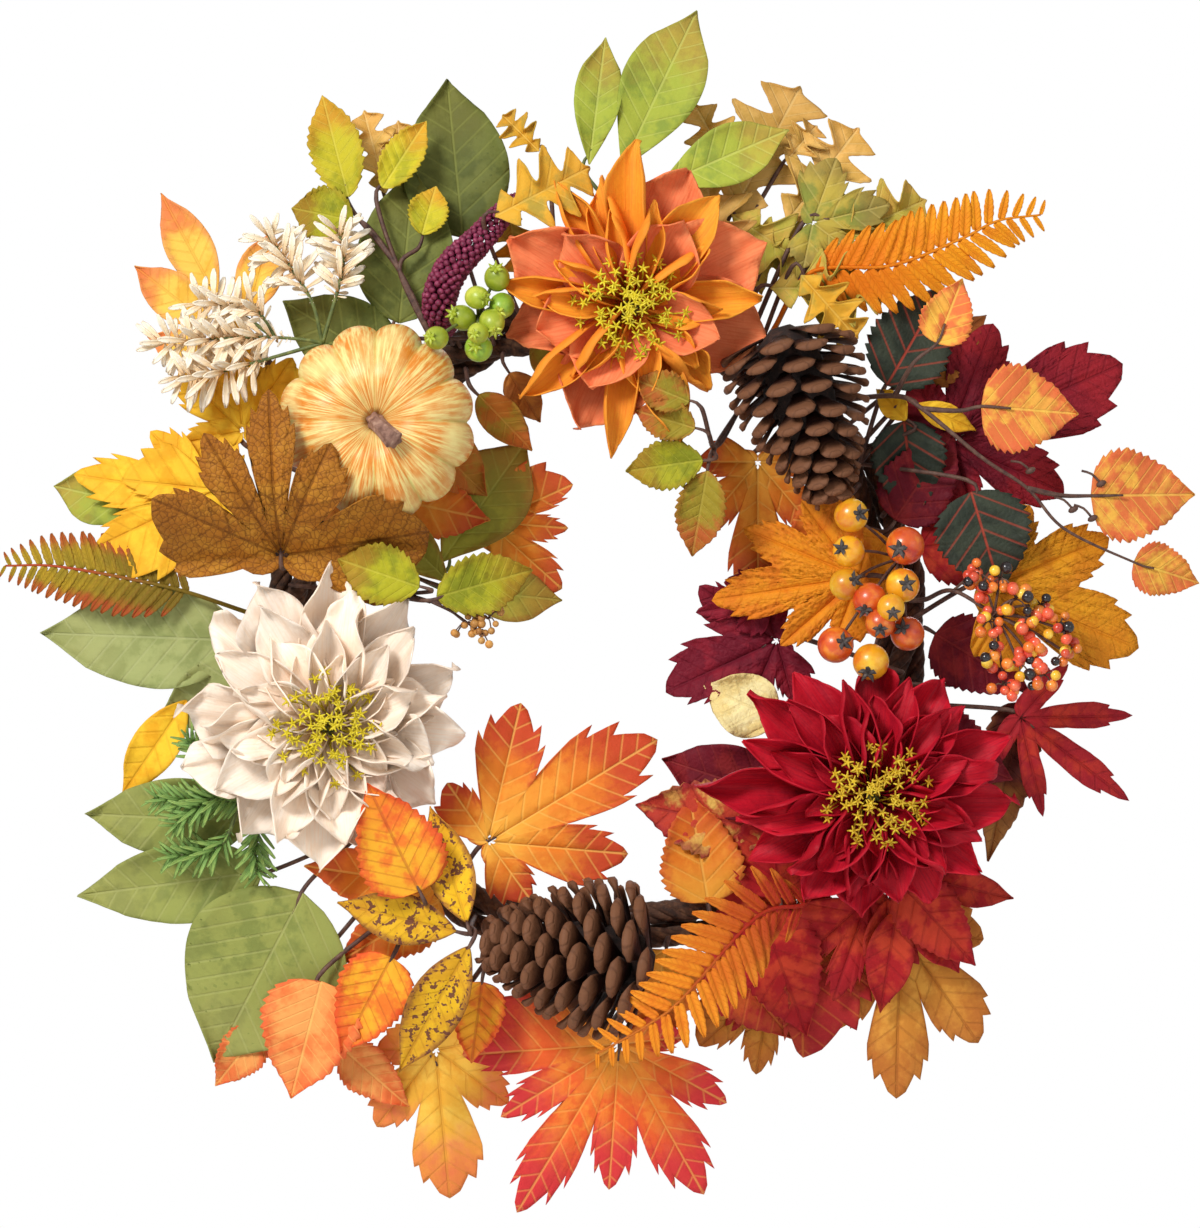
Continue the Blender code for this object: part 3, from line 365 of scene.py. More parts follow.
def lobed_leaf(making, finish, leaf, outline=TOOTHED, notch=0.56, curl=6.0, wave=1.5,
               crinkle=0.5, spacing=9.0, seed=0):
    """A maple-like leaf: a vein to each lobe, quilting between side veins, lobes that curl."""
    clock, out, turn, depth, rise, lobes = leaf
    chance = random.Random(f"{finish}{clock}{out}{turn}{seed}")
    rays = lobe_rays(lobes, outline, notch)
    share = np.linspace(0.03, 1, 17)[None, :] ** 0.85
    angle = np.radians(rays[:, 0])[:, None]
    own = np.radians(rays[:, 2])[:, None]
    longest = max(length for _, length in lobes)
    r = rays[:, 1][:, None] * share
    beside = np.abs(r * np.sin(angle - own))
    y = r * np.cos(angle - own)
    droops = [chance.uniform(-0.5, 1.0) for _ in lobes]
    droop = np.interp(rays[:, 0], [a for a, _ in lobes], droops)[:, None]
    forward = r * np.cos(angle) / longest
    lift = rise * np.sin(np.pi / 2 * np.clip(2 * forward, 0, 1))
    lift = lift - curl * droop * (r / longest) ** 2
    lift = lift - 1.3 * np.exp(-(beside / 1.7) ** 2) * (1 - share ** 3)
    phase = (y - 0.8 * beside) / spacing
    quilt = (0.5 - 0.5 * np.cos(2 * np.pi * phase)) * np.minimum(1, beside / 4)
    lift = lift + crinkle * quilt
    lift = lift + wave * share ** 4 * np.sin(angle * 9 + chance.uniform(0, 6))
    lift = lift * np.minimum(1, 0.1 + r / 12)
    base = spot(clock, out)
    way = np.radians(clock + turn) + angle
    px = base[0] + np.sin(way) * r
    pz = base[1] + np.cos(way) * r
    grid = np.stack([px, pz, depth + lift + dome(px, pz)], axis=-1)
    leaf_map = np.stack([beside, y, np.ones_like(y)], axis=-1)
    tip = np.clip(y / rays[:, 3][:, None], 0, 1)
    tone = np.stack([tip, share + 0 * r, np.full_like(r, chance.random())], axis=-1)
    sheet(making, grid, leaf_map, tone, finish, (0, 0, 1))


def foot_points(foot):
    """A stem's start among the vines and its way straight out of them."""
    x, height = spot(*foot)
    return [np.array((x, height, FOOT_DEPTH)), np.array((x, height, BUNDLE_FRONT + 5))]


def leaf_stem(making, foot, route, end, into, finish="stem_brown", radius=1.1):
    """A stem from the vines, along its route, into a leaf's base and a little up its midrib."""
    clock, out, turn, depth = end
    base = spot_point(clock, out, depth)
    way = heading(clock + turn)
    tip = base + np.array((way[0] * into, way[1] * into, -1.6))
    before = base - np.array((way[0] * 6, way[1] * 6, 1.6))
    path = smooth_path(foot_points(foot) + [spot_point(*p) for p in route] + [before, tip])
    radii = np.full(len(path), radius)
    radii[-6:] = np.linspace(radius, 0.45, len(radii[-6:]))
    tube(making, path, radii, finish, 6)


# Petals

PETAL_WIDEST = 0.58  # share of a petal's length at which it is widest
PETAL_FULLNESS = 0.62  # the lower, the fuller its ends


def petal(making, finish, centre, clock, length, width, start, tilt, cup=0.5, fold=0.0,
          wave=1.5, twist=0.0, seed=0):
    """A petal from a flower's centre: `start` is its (radius, height) and `tilt` how steeply it
    climbs at its base and at its tip, in degrees over the door's plane."""
    chance = random.Random(f"{finish}{clock}{length}{seed}")
    rows, cols = 30, 13
    t = np.linspace(0, 1, rows)
    u = np.linspace(-1, 1, cols)[None, :]
    climb = np.radians(tilt[0] + (tilt[1] - tilt[0]) * t ** 1.2)
    step = length / (rows - 1)
    r = start[0] + np.concatenate([[0], np.cumsum(np.cos(climb[1:]) * step)])
    h = start[1] + np.concatenate([[0], np.cumsum(np.sin(climb[1:]) * step)])
    t = t[:, None]
    power = math.log(0.5) / math.log(PETAL_WIDEST)
    half = width / 2 * np.sin(np.pi * (0.06 + 0.935 * t) ** power) ** PETAL_FULLNESS + 0.3
    half = half * np.clip((1.03 - t) / 0.30, 0, 1) ** 0.45
    roll = np.abs(u) ** 1.5 * cup * 1.3
    aside = half * u * np.cos(np.minimum(roll, 1.3))
    up = half * np.abs(u) * np.sin(np.minimum(roll, 1.3)) + fold * half * np.abs(u)
    up = up - 0.8 * np.exp(-(half * u / 1.6) ** 2) * (1 - t)
    up = up + 0.35 * np.sin(half * u * 1.9 + chance.random() * 6) * t
    up = up + 1.5 * wave * np.abs(u) ** 1.5 * t * np.sin(
        2 * np.pi * (1.35 * t + chance.random()) + np.sign(u) * chance.uniform(0.6, 2.2))
    up = up + chance.uniform(-0.22, 0.30) * half * np.abs(u) * t
    up = up + 0.85 * wave * np.abs(u) ** 3 * t * np.sin(
        2 * np.pi * (3.1 * t + chance.random()) + np.sign(u))
    up = up + 0.28 * wave * np.sin(half * u * 0.62 + chance.random() * 6) * t
    lean = twist * t
    aside, up = (aside * np.cos(lean) - up * np.sin(lean), aside * np.sin(lean) + up * np.cos(lean))
    way = heading(clock)
    sideways = (way[1], -way[0])
    climb = climb[:, None]
    radial = r[:, None] - up * np.sin(climb)
    aside = aside + chance.uniform(-0.06, 0.06) * length * t ** 2
    grid = np.stack([centre[0] + way[0] * radial + sideways[0] * aside,
                     centre[1] + way[1] * radial + sideways[1] * aside,
                     centre[2] + h[:, None] + up * np.cos(climb)], axis=-1)
    leaf_map = np.stack([half * u, length * t + 0 * u, np.ones_like(half * u)], axis=-1)
    tone = np.stack([t + 0 * u, np.abs(u) + 0 * t, np.full_like(half * u, chance.random())],
                    axis=-1)
    sheet(making, grid, leaf_map, tone, finish, (-way[0] * 0.5, -way[1] * 0.5, 1), 0.6)


# Node trees

HELPERS = []
FORWARD = (0.0, -1.0, 0.0)


def link(tree, source, socket):
    """Links a node's first output, or the output given, to an input."""
    tree.links.new(source.outputs[0] if isinstance(source, bpy.types.Node) else source, socket)


def add(tree, kind, inputs=None, **settings):
    """A node with its settings; an input is a value, a node or one of a node's outputs."""
    made = tree.nodes.new(kind)
    for key, value in settings.items():
        setattr(made, key, value)
    for key, value in (inputs or {}).items():
        if isinstance(value, (bpy.types.Node, bpy.types.NodeSocket)):
            link(tree, value, made.inputs[key])
        else:
            made.inputs[key].default_value = value
    return made


def new_tree(name, sockets):
    """An empty tree with a named input of each kind and a geometry output."""
    tree = bpy.data.node_groups.new(name, "GeometryNodeTree")
    for label, kind in sockets.items():
        tree.interface.new_socket(label, in_out="INPUT", socket_type=f"NodeSocket{kind}")
    tree.interface.new_socket("Geometry", in_out="OUTPUT", socket_type="NodeSocketGeometry")
    return tree


def set_curve(made, points):
    """Shapes a float curve node's curve through these points."""
    curve = made.mapping.curves[0]
    while len(curve.points) < len(points):
        curve.points.new(0.5, 0.5)
    for corner, at in zip(curve.points, points):
        corner.location = at
    made.mapping.update()


def counted_off(tree, asked, step):
    """Each point's share of the way from the first to the last, and the cosine and the sine of
    its turn, which grows by a step from point to point."""
    index = add(tree, "GeometryNodeInputIndex")
    share = add(tree, "ShaderNodeMath", {0: index, 1: asked["Count"]}, operation="DIVIDE")
    turn = add(tree, "ShaderNodeMath", {0: index, 1: step}, operation="MULTIPLY")
    return (share, add(tree, "ShaderNodeMath", {0: turn}, operation="COSINE"),
            add(tree, "ShaderNodeMath", {0: turn}, operation="SINE"))


def leaned(tree, asked, angle, outward, onward):
    """A direction that leans by an angle from onward to outward, with a random stray added."""
    over = add(tree, "ShaderNodeMath", {0: angle}, operation="SINE")
    forth = add(tree, "ShaderNodeMath", {0: angle}, operation="COSINE")
    leaning = add(tree, "ShaderNodeVectorMath", {0: outward, "Scale": over}, operation="SCALE")
    rest = add(tree, "ShaderNodeVectorMath", {0: onward, "Scale": forth}, operation="SCALE")
    way = add(tree, "ShaderNodeVectorMath", {0: leaning, 1: rest}, operation="ADD")
    low = add(tree, "ShaderNodeMath", {0: asked["Jitter"], 1: -1.0}, operation="MULTIPLY")
    stray = add(tree, "FunctionNodeRandomValue",
                {0: low, 1: asked["Jitter"], "Seed": asked["Seed"]}, data_type="FLOAT_VECTOR")
    return add(tree, "ShaderNodeVectorMath", {0: way, 1: stray}, operation="ADD")


def scattered(tree, asked, points, facing, size, share):
    """Puts the piece on points, keeping each one's share as an attribute, in real geometry."""
    noted = add(tree, "GeometryNodeStoreNamedAttribute",
                {0: points, "Name": "place_share", "Value": share},
                data_type="FLOAT", domain="POINT")
    pick = add(tree, "GeometryNodeObjectInfo", {0: asked["Piece"]})
    put = add(tree, "GeometryNodeInstanceOnPoints",
              {"Points": noted, "Instance": pick.outputs["Geometry"],
               "Rotation": facing, "Scale": size})
    real = add(tree, "GeometryNodeRealizeInstances", {0: put})
    dressed = add(tree, "GeometryNodeSetMaterial", {0: real, "Material": asked["Finish"]})
    add(tree, "NodeGroupOutput", {0: dressed})
    return tree


def spiral_tree(name, profile):
    """Pieces set in a spiral round the Z axis, each a golden turn after the one before it; the
    profile gives the radius, as a share, from the first piece to the last."""
    tree = new_tree(name, dict(Piece="Object", Count="Int", Radius="Float", Length="Float",
                               Tilt_Start="Float", Tilt_End="Float", Size_Start="Float",
                               Size_End="Float", Jitter="Float", Seed="Int", Finish="Material"))
    asked = add(tree, "NodeGroupInput").outputs
    share, cosine, sine = counted_off(tree, asked, GOLDEN_TURN)
    width = add(tree, "ShaderNodeFloatCurve", {"Value": share})
    set_curve(width, profile)
    radius = add(tree, "ShaderNodeMath", {0: width, 1: asked["Radius"]}, operation="MULTIPLY")
    height = add(tree, "ShaderNodeMath", {0: share, 1: asked["Length"]}, operation="MULTIPLY")
    outward = add(tree, "ShaderNodeCombineXYZ", {0: cosine, 1: sine})
    backward = add(tree, "ShaderNodeMath", {0: sine, 1: -1.0}, operation="MULTIPLY")
    tangent = add(tree, "ShaderNodeCombineXYZ", {0: backward, 1: cosine})
    flat = add(tree, "ShaderNodeVectorMath", {0: outward, "Scale": radius}, operation="SCALE")
    risen = add(tree, "ShaderNodeCombineXYZ", {2: height})
    place = add(tree, "ShaderNodeVectorMath", {0: flat, 1: risen}, operation="ADD")
    tilt = add(tree, "ShaderNodeMapRange",
               {0: share, 3: asked["Tilt_Start"], 4: asked["Tilt_End"]})
    way = leaned(tree, asked, tilt, outward, (0.0, 0.0, 1.0))
    facing = add(tree, "FunctionNodeAxesToRotation", {0: way, 1: tangent},
                 primary_axis="Z", secondary_axis="X")
    size = add(tree, "ShaderNodeMapRange",
               {0: share, 3: asked["Size_Start"], 4: asked["Size_End"]})
    points = add(tree, "GeometryNodePoints", {"Count": asked["Count"], "Position": place})
    return scattered(tree, asked, points, facing, size, share)


def path_tree(name, envelope):
    """Pieces set along a path, each turned round it by a step; the envelope gives their size."""
    tree = new_tree(name, dict(Path="Object", Piece="Object", Count="Int", Turn="Float",
                               Lean="Float", Offset="Float", Size="Float", Up="Vector",
                               Jitter="Float", Seed="Int", Finish="Material"))
    asked = add(tree, "NodeGroupInput").outputs
    line = add(tree, "GeometryNodeObjectInfo", {0: asked["Path"]})
    points = add(tree, "GeometryNodeCurveToPoints",
                 {0: line.outputs["Geometry"], "Count": asked["Count"]}, mode="COUNT")
    tangent = points.outputs["Tangent"]
    share, cosine, sine = counted_off(tree, asked, asked["Turn"])
    crossed = add(tree, "ShaderNodeVectorMath", {0: tangent, 1: asked["Up"]},
                  operation="CROSS_PRODUCT")
    side = add(tree, "ShaderNodeVectorMath", {0: crossed}, operation="NORMALIZE")
    top = add(tree, "ShaderNodeVectorMath", {0: side, 1: tangent}, operation="CROSS_PRODUCT")
    sideways = add(tree, "ShaderNodeVectorMath", {0: side, "Scale": cosine}, operation="SCALE")
    upwards = add(tree, "ShaderNodeVectorMath", {0: top, "Scale": sine}, operation="SCALE")
    outward = add(tree, "ShaderNodeVectorMath", {0: sideways, 1: upwards}, operation="ADD")
    way = leaned(tree, asked, asked["Lean"], outward, tangent)
    facing = add(tree, "FunctionNodeAxesToRotation", {0: way, 1: top},
                 primary_axis="Z", secondary_axis="Y")
    swell = add(tree, "ShaderNodeFloatCurve", {"Value": share})
    set_curve(swell, envelope)
    size = add(tree, "ShaderNodeMath", {0: swell, 1: asked["Size"]}, operation="MULTIPLY")
    reach = add(tree, "ShaderNodeMath", {0: swell, 1: asked["Offset"]}, operation="MULTIPLY")
    shifted = add(tree, "ShaderNodeVectorMath", {0: outward, "Scale": reach}, operation="SCALE")
    moved = add(tree, "GeometryNodeSetPosition", {0: points, "Offset": shifted})
    return scattered(tree, asked, moved, facing, size, share)


def grown(tree, wanted):
    """The plain mesh that a tree makes with these inputs."""
    holder = bpy.data.objects.new("holder", bpy.data.meshes.new("holder"))
    bpy.context.scene.collection.objects.link(holder)
    work = holder.modifiers.new("grow", "NODES")
    work.node_group = tree
    for socket in tree.interface.items_tree:
        if socket.in_out == "INPUT" and socket.name in wanted:
            work[socket.identifier] = wanted[socket.name]
    graph = bpy.context.evaluated_depsgraph_get()
    mesh = bpy.data.meshes.new_from_object(holder.evaluated_get(graph))
    bpy.data.objects.remove(holder, do_unlink=True)
    mesh.materials.clear()
    mesh.materials.append(wanted["Finish"])
    mesh.polygons.foreach_set("material_index", [0] * len(mesh.polygons))
    return mesh


def joined_mesh(name, meshes):
    """One object from several plain meshes, each finish kept."""
    objects = []
    for number, mesh in enumerate(meshes):
        part = bpy.data.objects.new(f"{name}_{number}" if number else name, mesh)
        bpy.context.scene.collection.objects.link(part)
        objects.append(part)
    if len(objects) > 1:
        with bpy.context.temp_override(active_object=objects[0], object=objects[0],
                                       selected_editable_objects=objects,
                                       selected_objects=objects):
            bpy.ops.object.join()
    objects[0].data.shade_smooth()
    return objects[0]


def helper(name, data):
    """An object that trees read, removed once everything has grown."""
    made = bpy.data.objects.new(name, data)
    bpy.context.scene.collection.objects.link(made)
    HELPERS.append(made)
    return made


def pattern(name, build):
    """A helper object holding one small piece that a tree repeats, in metres at the origin."""
    making = Making()
    build(making)
    return helper(name, making.mesh(name, np.concatenate(making.points) * MM))


def path_object(points):
    """A curve through points given in millimetres, lying in its real place."""
    curve = bpy.data.curves.new("path", "CURVE")
    curve.dimensions = "3D"
    line = curve.splines.new("POLY")
    places = in_place(points)
    line.points.add(len(places) - 1)
    line.points.foreach_set("co", np.c_[places, np.ones(len(places))].ravel())
    return helper("path", curve)


# Finishes

def linear(code):
    """An sRGB hex value as linear colour."""
    parts = [int(code[i:i + 2], 16) / 255 for i in (1, 3, 5)]
    return (*[p / 12.92 if p <= 0.04045 else ((p + 0.055) / 1.055) ** 2.4 for p in parts], 1.0)


def dyed(colours, **look):
    """A finish's colours for its blade, mottle, tip, edge and veins, and the rest of its look."""
    return dict(zip(("blade", "mottle", "tip", "edge", "vein"), colours.split()), **look)


# Polyester silk, dyed and printed: matt woven cloth with a blade colour and softer blotches, its
# veins, edge and tip painted over. `spacing` is the distance between side veins in millimetres,
# and `made` names the material where it isn't this cloth.
SILK_FINISHES = {
    "willow_leaf": dyed("#f2c654 #ecb23e #e2764a #e9945a #d9942e", tips=0.85, edges=0.6, spacing=6.0),
    "yellow_maple": dyed("#f4c232 #e8a420 #f0b02a #dba02a #cf8f22", edges=0.4, veins=0.6),
    "rose_leaf": dyed("#a9a526 #7f8420 #a86f28 #9a7a24 #c9c04c", tips=0.6, edges=0.45, spacing=5.0,
                      crinkle=0.5),
    "yellow_rose": dyed("#c2b52c #9d9a24 #d98a30 #c29a2c #dccf5c", tips=0.6, edges=0.4, spacing=5.0,
                        crinkle=0.5),
    "ochre_oak": dyed("#dba634 #a8923a #c98a30 #c9902e #e9c868", edges=0.4),
    "magnolia_dark": dyed("#6d7238 #585f2e #7d7434 #5f6a2c #96994e", veins=0.6, spacing=10.0),
    "magnolia_pale": dyed("#93984f #7b8443 #a09a5c #868c4a #b6b676", veins=0.6, spacing=10.0),
    "magnolia_light": dyed("#a5ab6c #8f985a #a8a468 #98a062 #bdc08a", veins=0.6, spacing=10.0),
    "laurel_leaf": dyed("#a6b042 #86983e #bd8440 #94a03c #cbd070", veins=0.7, tips=0.5, spacing=8.0),
    "olive_leaf": dyed("#8f8c34 #a5a43c #a8642c #96582a #b9b457", tips=0.5, edges=0.5, spacing=8.0),
    "oak_leaf": dyed("#dfb364 #bf9a48 #c98c44 #b9803a #e6c888", veins=0.6, spacing=6.0),
    "green_oak": dyed("#b3a944 #d0ac50 #b98a3c #a07c34 #d0c070", veins=0.6, spacing=6.0),
    "green_maple": dyed("#b8a244 #7f8a3c #8a6a44 #a08a40 #dcc878", tips=0.5, edges=0.5),
    "coleus_leaf": dyed("#3a4034 #2d332b #3c3a30 #2c3029 #cf4430", veins=0.8, spacing=9.0, crinkle=0.9),
    "burgundy_maple": dyed("#7c1a2a #641424 #ae262c #98222e #4e0d1c", tips=0.7, edges=0.5, crinkle=1.0),
    "crimson_maple": dyed("#721729 #8f2030 #8e1c2c #661426 #561020", crinkle=1.0),
    "birch_leaf": dyed("#dd7440 #f0b84a #e0824a #d8603a #f7cf5c", veins=0.9, edges=0.6, spacing=6.0,
                       blotches=0.9),
    "sprig_birch": dyed("#f2ac2e #e8702c #e0582c #df4f2a #a03a26", veins=0.7, tips=0.6, edges=0.85,
                        spacing=6.0),
    "salmon_birch": dyed("#e89a54 #e0763c #da5a34 #d8552f #f3c26c", veins=0.7, edges=0.7, spacing=6.0),
    "mustard_maple": dyed("#e39a20 #cf7f1a #dd8c22 #cf7a1e #c9781a", crinkle=1.0),
    "crinkled_maple": dyed("#e58f1e #d6701a #e08a24 #d6701e #cf6f18", crinkle=1.0),
    "orange_maple": dyed("#de7a24 #eb9a34 #bd4428 #c4502a #f2be5c", tips=0.8, edges=0.6,
                         base="#eba23a", veins=0.75),
    "bronze_rose": dyed("#9d8a2c #b5642c #b2542a #a86028 #c6b252", tips=0.7, edges=0.5, spacing=5.0,
                        crinkle=0.6),
    "cream_leaf": dyed("#ecdca2 #e0c67e #e6cf92 #dcc484 #d3b871", crinkle=1.0),
    "wine_leaf": dyed("#681422 #872426 #7a1a24 #531020 #9a3a34", crinkle=0.6),
    "painted_leaf": dyed("#bb3f2c #dcae56 #a02a2a #8d2430 #701a24", edges=0.7, veins=0.7, blotches=1.0,
                         crinkle=0.8),
    "red_maple": dyed("#a3222a #c03a2a #a81e28 #8a1a24 #721620", edges=0.5, veins=0.6),
    "red_leaf": dyed("#a51d22 #c9442a #8f1820 #8a1620 #701218", edges=0.5, veins=0.6),
    "scarlet_maple": dyed("#b8302a #d96a2c #982026 #8f1c24 #e08a3c", tips=0.6, edges=0.5),
    "dry_leaf": dyed("#5f2d27 #7a3b2a #a9743a #8a5532 #3e1b1a", tips=0.9, edges=0.5, spacing=6.0),
    "brown_leaf": dyed("#a35f2a #c27c34 #8a4a26 #8f5226 #6e3a1e", spacing=6.0),
    "rust_leaf": dyed("#b56a28 #9a8a2e #c05a2c #b0552a #d39a48", spacing=6.0),
    "bronze_maple": dyed("#bd7a2e #d5983e #b56a2a #a35a28 #8a4c20", edges=0.6, veins=0.7),
    "flame_maple": dyed("#e4602c #ee8a34 #cf2f3c #cb3438 #f2b45c", base="#ec9a38", tips=0.9, edges=0.6,
                        veins=0.75),
    "gold_maple": dyed("#e9ad3c #f0c250 #d8564a #dd8a3a #c98a30", tips=0.8, edges=0.5, veins=0.6),
    "centre_maple": dyed("#dd7a28 #eb9836 #b63a22 #c04426 #f4c464", base="#efab40", tips=0.9,
                         edges=0.75, veins=0.8),
    "speckled_leaf": dyed("#e7b524 #d99f24 #c98a2c #8f5430 #a86a2a", speckle="#6d3f33", speckles=0.95,
                          edges=0.8, spacing=6.0),
    "fatsia_leaf": dyed("#a5681f #b97f2a #9a5c1c #8f561e #5f3410", net="#6b3c14", veins=0.9,
                        crinkle=1.2, spacing=8.0),
    "fern_orange": dyed("#ee9a1c #e2841a #f2ae2c #dd8018 #c9660e", root="#dc6f12", spacing=3.0),
    "fern_flame": dyed("#ec8f22 #e27c1e #f0a832 #dd6f1c #c95a14", root="#a8281c", roots=1.0,
                       spacing=3.0),
    "fern_olive": dyed("#a98a24 #8f7a22 #b2402a #8c5a20 #7d6418", root="#6f5a1c", tips=0.8,
                       spacing=3.0),
    # Soft moulded needles: plain plastic with paler tips and a little shine
    "rosemary_needle": dyed("#83a85a #6b9149 #bccb6c #76a052 #95b568", tips=0.5, spacing=4.0,
                            gloss=0.35, made="moulded_polyethylene"),
    # Florets cut from thin foam: matt, with a darker throat
    "floret_petal": dyed("#f9e8c8 #f4d6aa #fff8e8 #fbf0d8 #efd0a0", base="#e8b880", tips=0.9,
                         spacing=4.0, made="foam_sheet"),
    # Petals: a closer, smoother cloth with soft streaks along it and a deep throat
    "orange_petal": dyed("#f09c2c #ee8a2a #f4ab3a #f2a63c #dd7420", base="#cf4a1c", streak="#e5802a",
                         gloss=0.62),
    "coral_petal": dyed("#ec8256 #e87448 #ef8e58 #f0995c #d9603a", base="#c8401f", streak="#e0683f",
                        gloss=0.62),
    "cream_petal": dyed("#fbead8 #f8dfc6 #fdf3e6 #fdf1e2 #f0d0aa", base="#f2c28c", streak="#f5dcc0",
                        gloss=0.62),
    "red_petal": dyed("#c01428 #a20d20 #d42436 #c81c2e #7d0a1c", base="#5e0616", streak="#96102a",
                      gloss=0.5),
    # A real cone's scales: dark wood, with paler edges and tips painted on as highlights where the
    # scale ends catch the light
    "pine_scale": dyed("#38201a #281511 #8a5c40 #6e4834 #24130e", tips=0.7, edges=0.7, gloss=0.6,
                       grain=1.0, made="pine_wood"),
    "sepal": dyed("#5f6b2c #4a5524 #7a7a34 #566128 #8a8f4a", spacing=4.0),
}


def painted_layers(look, mask, veins):
    """(mask, colour, strength) of the layers over the blade's colour, from the first to the
    last. A petal has streaks in place of veins, and every back shows its blotch colour."""
    wanted = (("mottle", mask["mottle"], look.get("blotches", 0.85)),
              ("root", mask["root"], look.get("roots", 0.9)),
              ("base", mask["base"], 0.9),
              ("tip", mask["tip"], look.get("tips", 0.35)),
              ("edge", mask["edge"], look.get("edges", 0.3)),
              ("streak", mask["streak"], 0.45),
              ("net", mask["net"], 0.7),
              ("vein", veins, 0.0 if "streak" in look else 0.62 * look.get("veins", 0.5)),
              ("speckle", mask["speckle"], look.get("speckles", 0.0)))
    layers = [(covered, look[name], amount) for name, covered, amount in wanted
              if name in look and amount]
    return layers + [(mask["back"], look["mottle"], 0.6)]


def silk(tree, shader, look):
    """Dyed cloth leaf: blotches first, then base, tip, edge, streaks, veins and speckles."""
    where = add(tree, "ShaderNodeTexCoord").outputs["Object"]
    leaf_map = add(tree, "ShaderNodeAttribute", attribute_name="leaf_map").outputs["Vector"]
    leaf_tone = add(tree, "ShaderNodeAttribute", attribute_name="leaf_tone").outputs["Vector"]
    placed = add(tree, "ShaderNodeAttribute", attribute_name="place_share").outputs["Fac"]
    beside, along, side = add(tree, "ShaderNodeSeparateXYZ", {0: leaf_map}).outputs
    to_tip, to_edge, chance = add(tree, "ShaderNodeSeparateXYZ", {0: leaf_tone}).outputs
    blotch = add(tree, "ShaderNodeTexNoise", {"Vector": where, "Scale": 70.0, "Detail": 4.0,
                                              "Roughness": 0.6})
    fine = add(tree, "ShaderNodeTexNoise", {"Vector": where, "Scale": 420.0,
                                            "Detail": 3.0})
    speck = add(tree, "ShaderNodeTexNoise", {"Vector": where, "Scale": 260.0, "Detail": 2.0,
                                             "Roughness": 0.75})
    stretched = add(tree, "ShaderNodeVectorMath", {0: leaf_map, 1: (1.1, 0.05, 0.0)},
                    operation="MULTIPLY")
    fibres = add(tree, "ShaderNodeTexNoise", {"Vector": stretched, "Scale": 1.0,
                                              "Detail": 3.0})
    ragged_tip = add(tree, "ShaderNodeMath", {0: blotch, 1: 0.7, 2: to_tip},
                     operation="MULTIPLY_ADD")
    ragged_edge = add(tree, "ShaderNodeMath", {0: fine, 1: 0.45, 2: to_edge},
                      operation="MULTIPLY_ADD")
    slanted = add(tree, "ShaderNodeMath", {0: beside, 1: -0.78, 2: along},
                  operation="MULTIPLY_ADD")
    counted = add(tree, "ShaderNodeMath", {0: slanted, 1: look.get("spacing", 9.0)},
                  operation="DIVIDE")
    between = add(tree, "ShaderNodeMath", {0: counted, 1: 0.5}, operation="PINGPONG")
    cells = add(tree, "ShaderNodeTexVoronoi", {"Vector": leaf_map, "Scale": 0.38},
                feature="DISTANCE_TO_EDGE").outputs["Distance"]
    steps = {
        "mottle": (blotch, 0.45, 0.60), "tip": (ragged_tip, 0.80, 1.18),
        "base": (ragged_tip, 0.75, 0.42), "edge": (ragged_edge, 0.86, 1.20),
        "side_vein": (between, 0.11, 0.02), "midrib": (beside, 0.95, 0.25),
        "speckle": (speck, 0.56, 0.60), "streak": (fibres, 0.45, 0.62),
        "net": (cells, 0.10, 0.01), "back": (side, 0.6, 0.4),
        "root": (placed, 0.62, 0.02),
    }
    mask = {name: add(tree, "ShaderNodeMapRange", {0: value, 1: low, 2: high},
                      interpolation_type="SMOOTHSTEP")
            for name, (value, low, high) in steps.items()}
    veins = add(tree, "ShaderNodeMath", {0: mask["side_vein"], 1: 0.62},
                operation="MULTIPLY")
    veins = add(tree, "ShaderNodeMath", {0: veins, 1: mask["midrib"]},
                operation="MAXIMUM")
    colour = linear(look["blade"])
    for covered, code, amount in painted_layers(look, mask, veins):
        part = add(tree, "ShaderNodeMath", {0: covered, 1: amount}, operation="MULTIPLY")
        colour = add(tree, "ShaderNodeMix", {0: part, 6: colour, 7: linear(code)},
                     data_type="RGBA").outputs[2]
    value = add(tree, "ShaderNodeMapRange", {0: chance, 3: 0.88, 4: 1.10})
    toned = add(tree, "ShaderNodeHueSaturation", {"Value": value, "Color": colour})
    link(tree, toned, shader.inputs["Base Color"])
    worn = add(tree, "ShaderNodeMapRange", {0: fine, 3: look.get("gloss", 0.62) - 0.07,
                                            4: look.get("gloss", 0.62) + 0.10})
    link(tree, worn, shader.inputs["Roughness"])
    crease = add(tree, "ShaderNodeMath", {0: veins, 1: 0.0 if "streak" in look else -0.6},
                 operation="MULTIPLY")
    puckers = add(tree, "ShaderNodeMath", {0: cells, 1: look.get("crinkle", 0.15), 2: crease},
                  operation="MULTIPLY_ADD")
    weave = add(tree, "ShaderNodeMath", {0: fine, 1: 0.35 + 0.5 * look.get("grain", 0.0),
                                         2: puckers}, operation="MULTIPLY_ADD")
    cloth = add(tree, "ShaderNodeMath", {0: fibres, 1: 0.5 if "streak" in look else 0.1,
                                         2: weave}, operation="MULTIPLY_ADD")
    relief = add(tree, "ShaderNodeBump", {"Height": cloth, "Strength": 0.55,
                                          "Distance": 0.0012})
    link(tree, relief, shader.inputs["Normal"])
    shader.inputs["Specular IOR Level"].default_value = 0.14


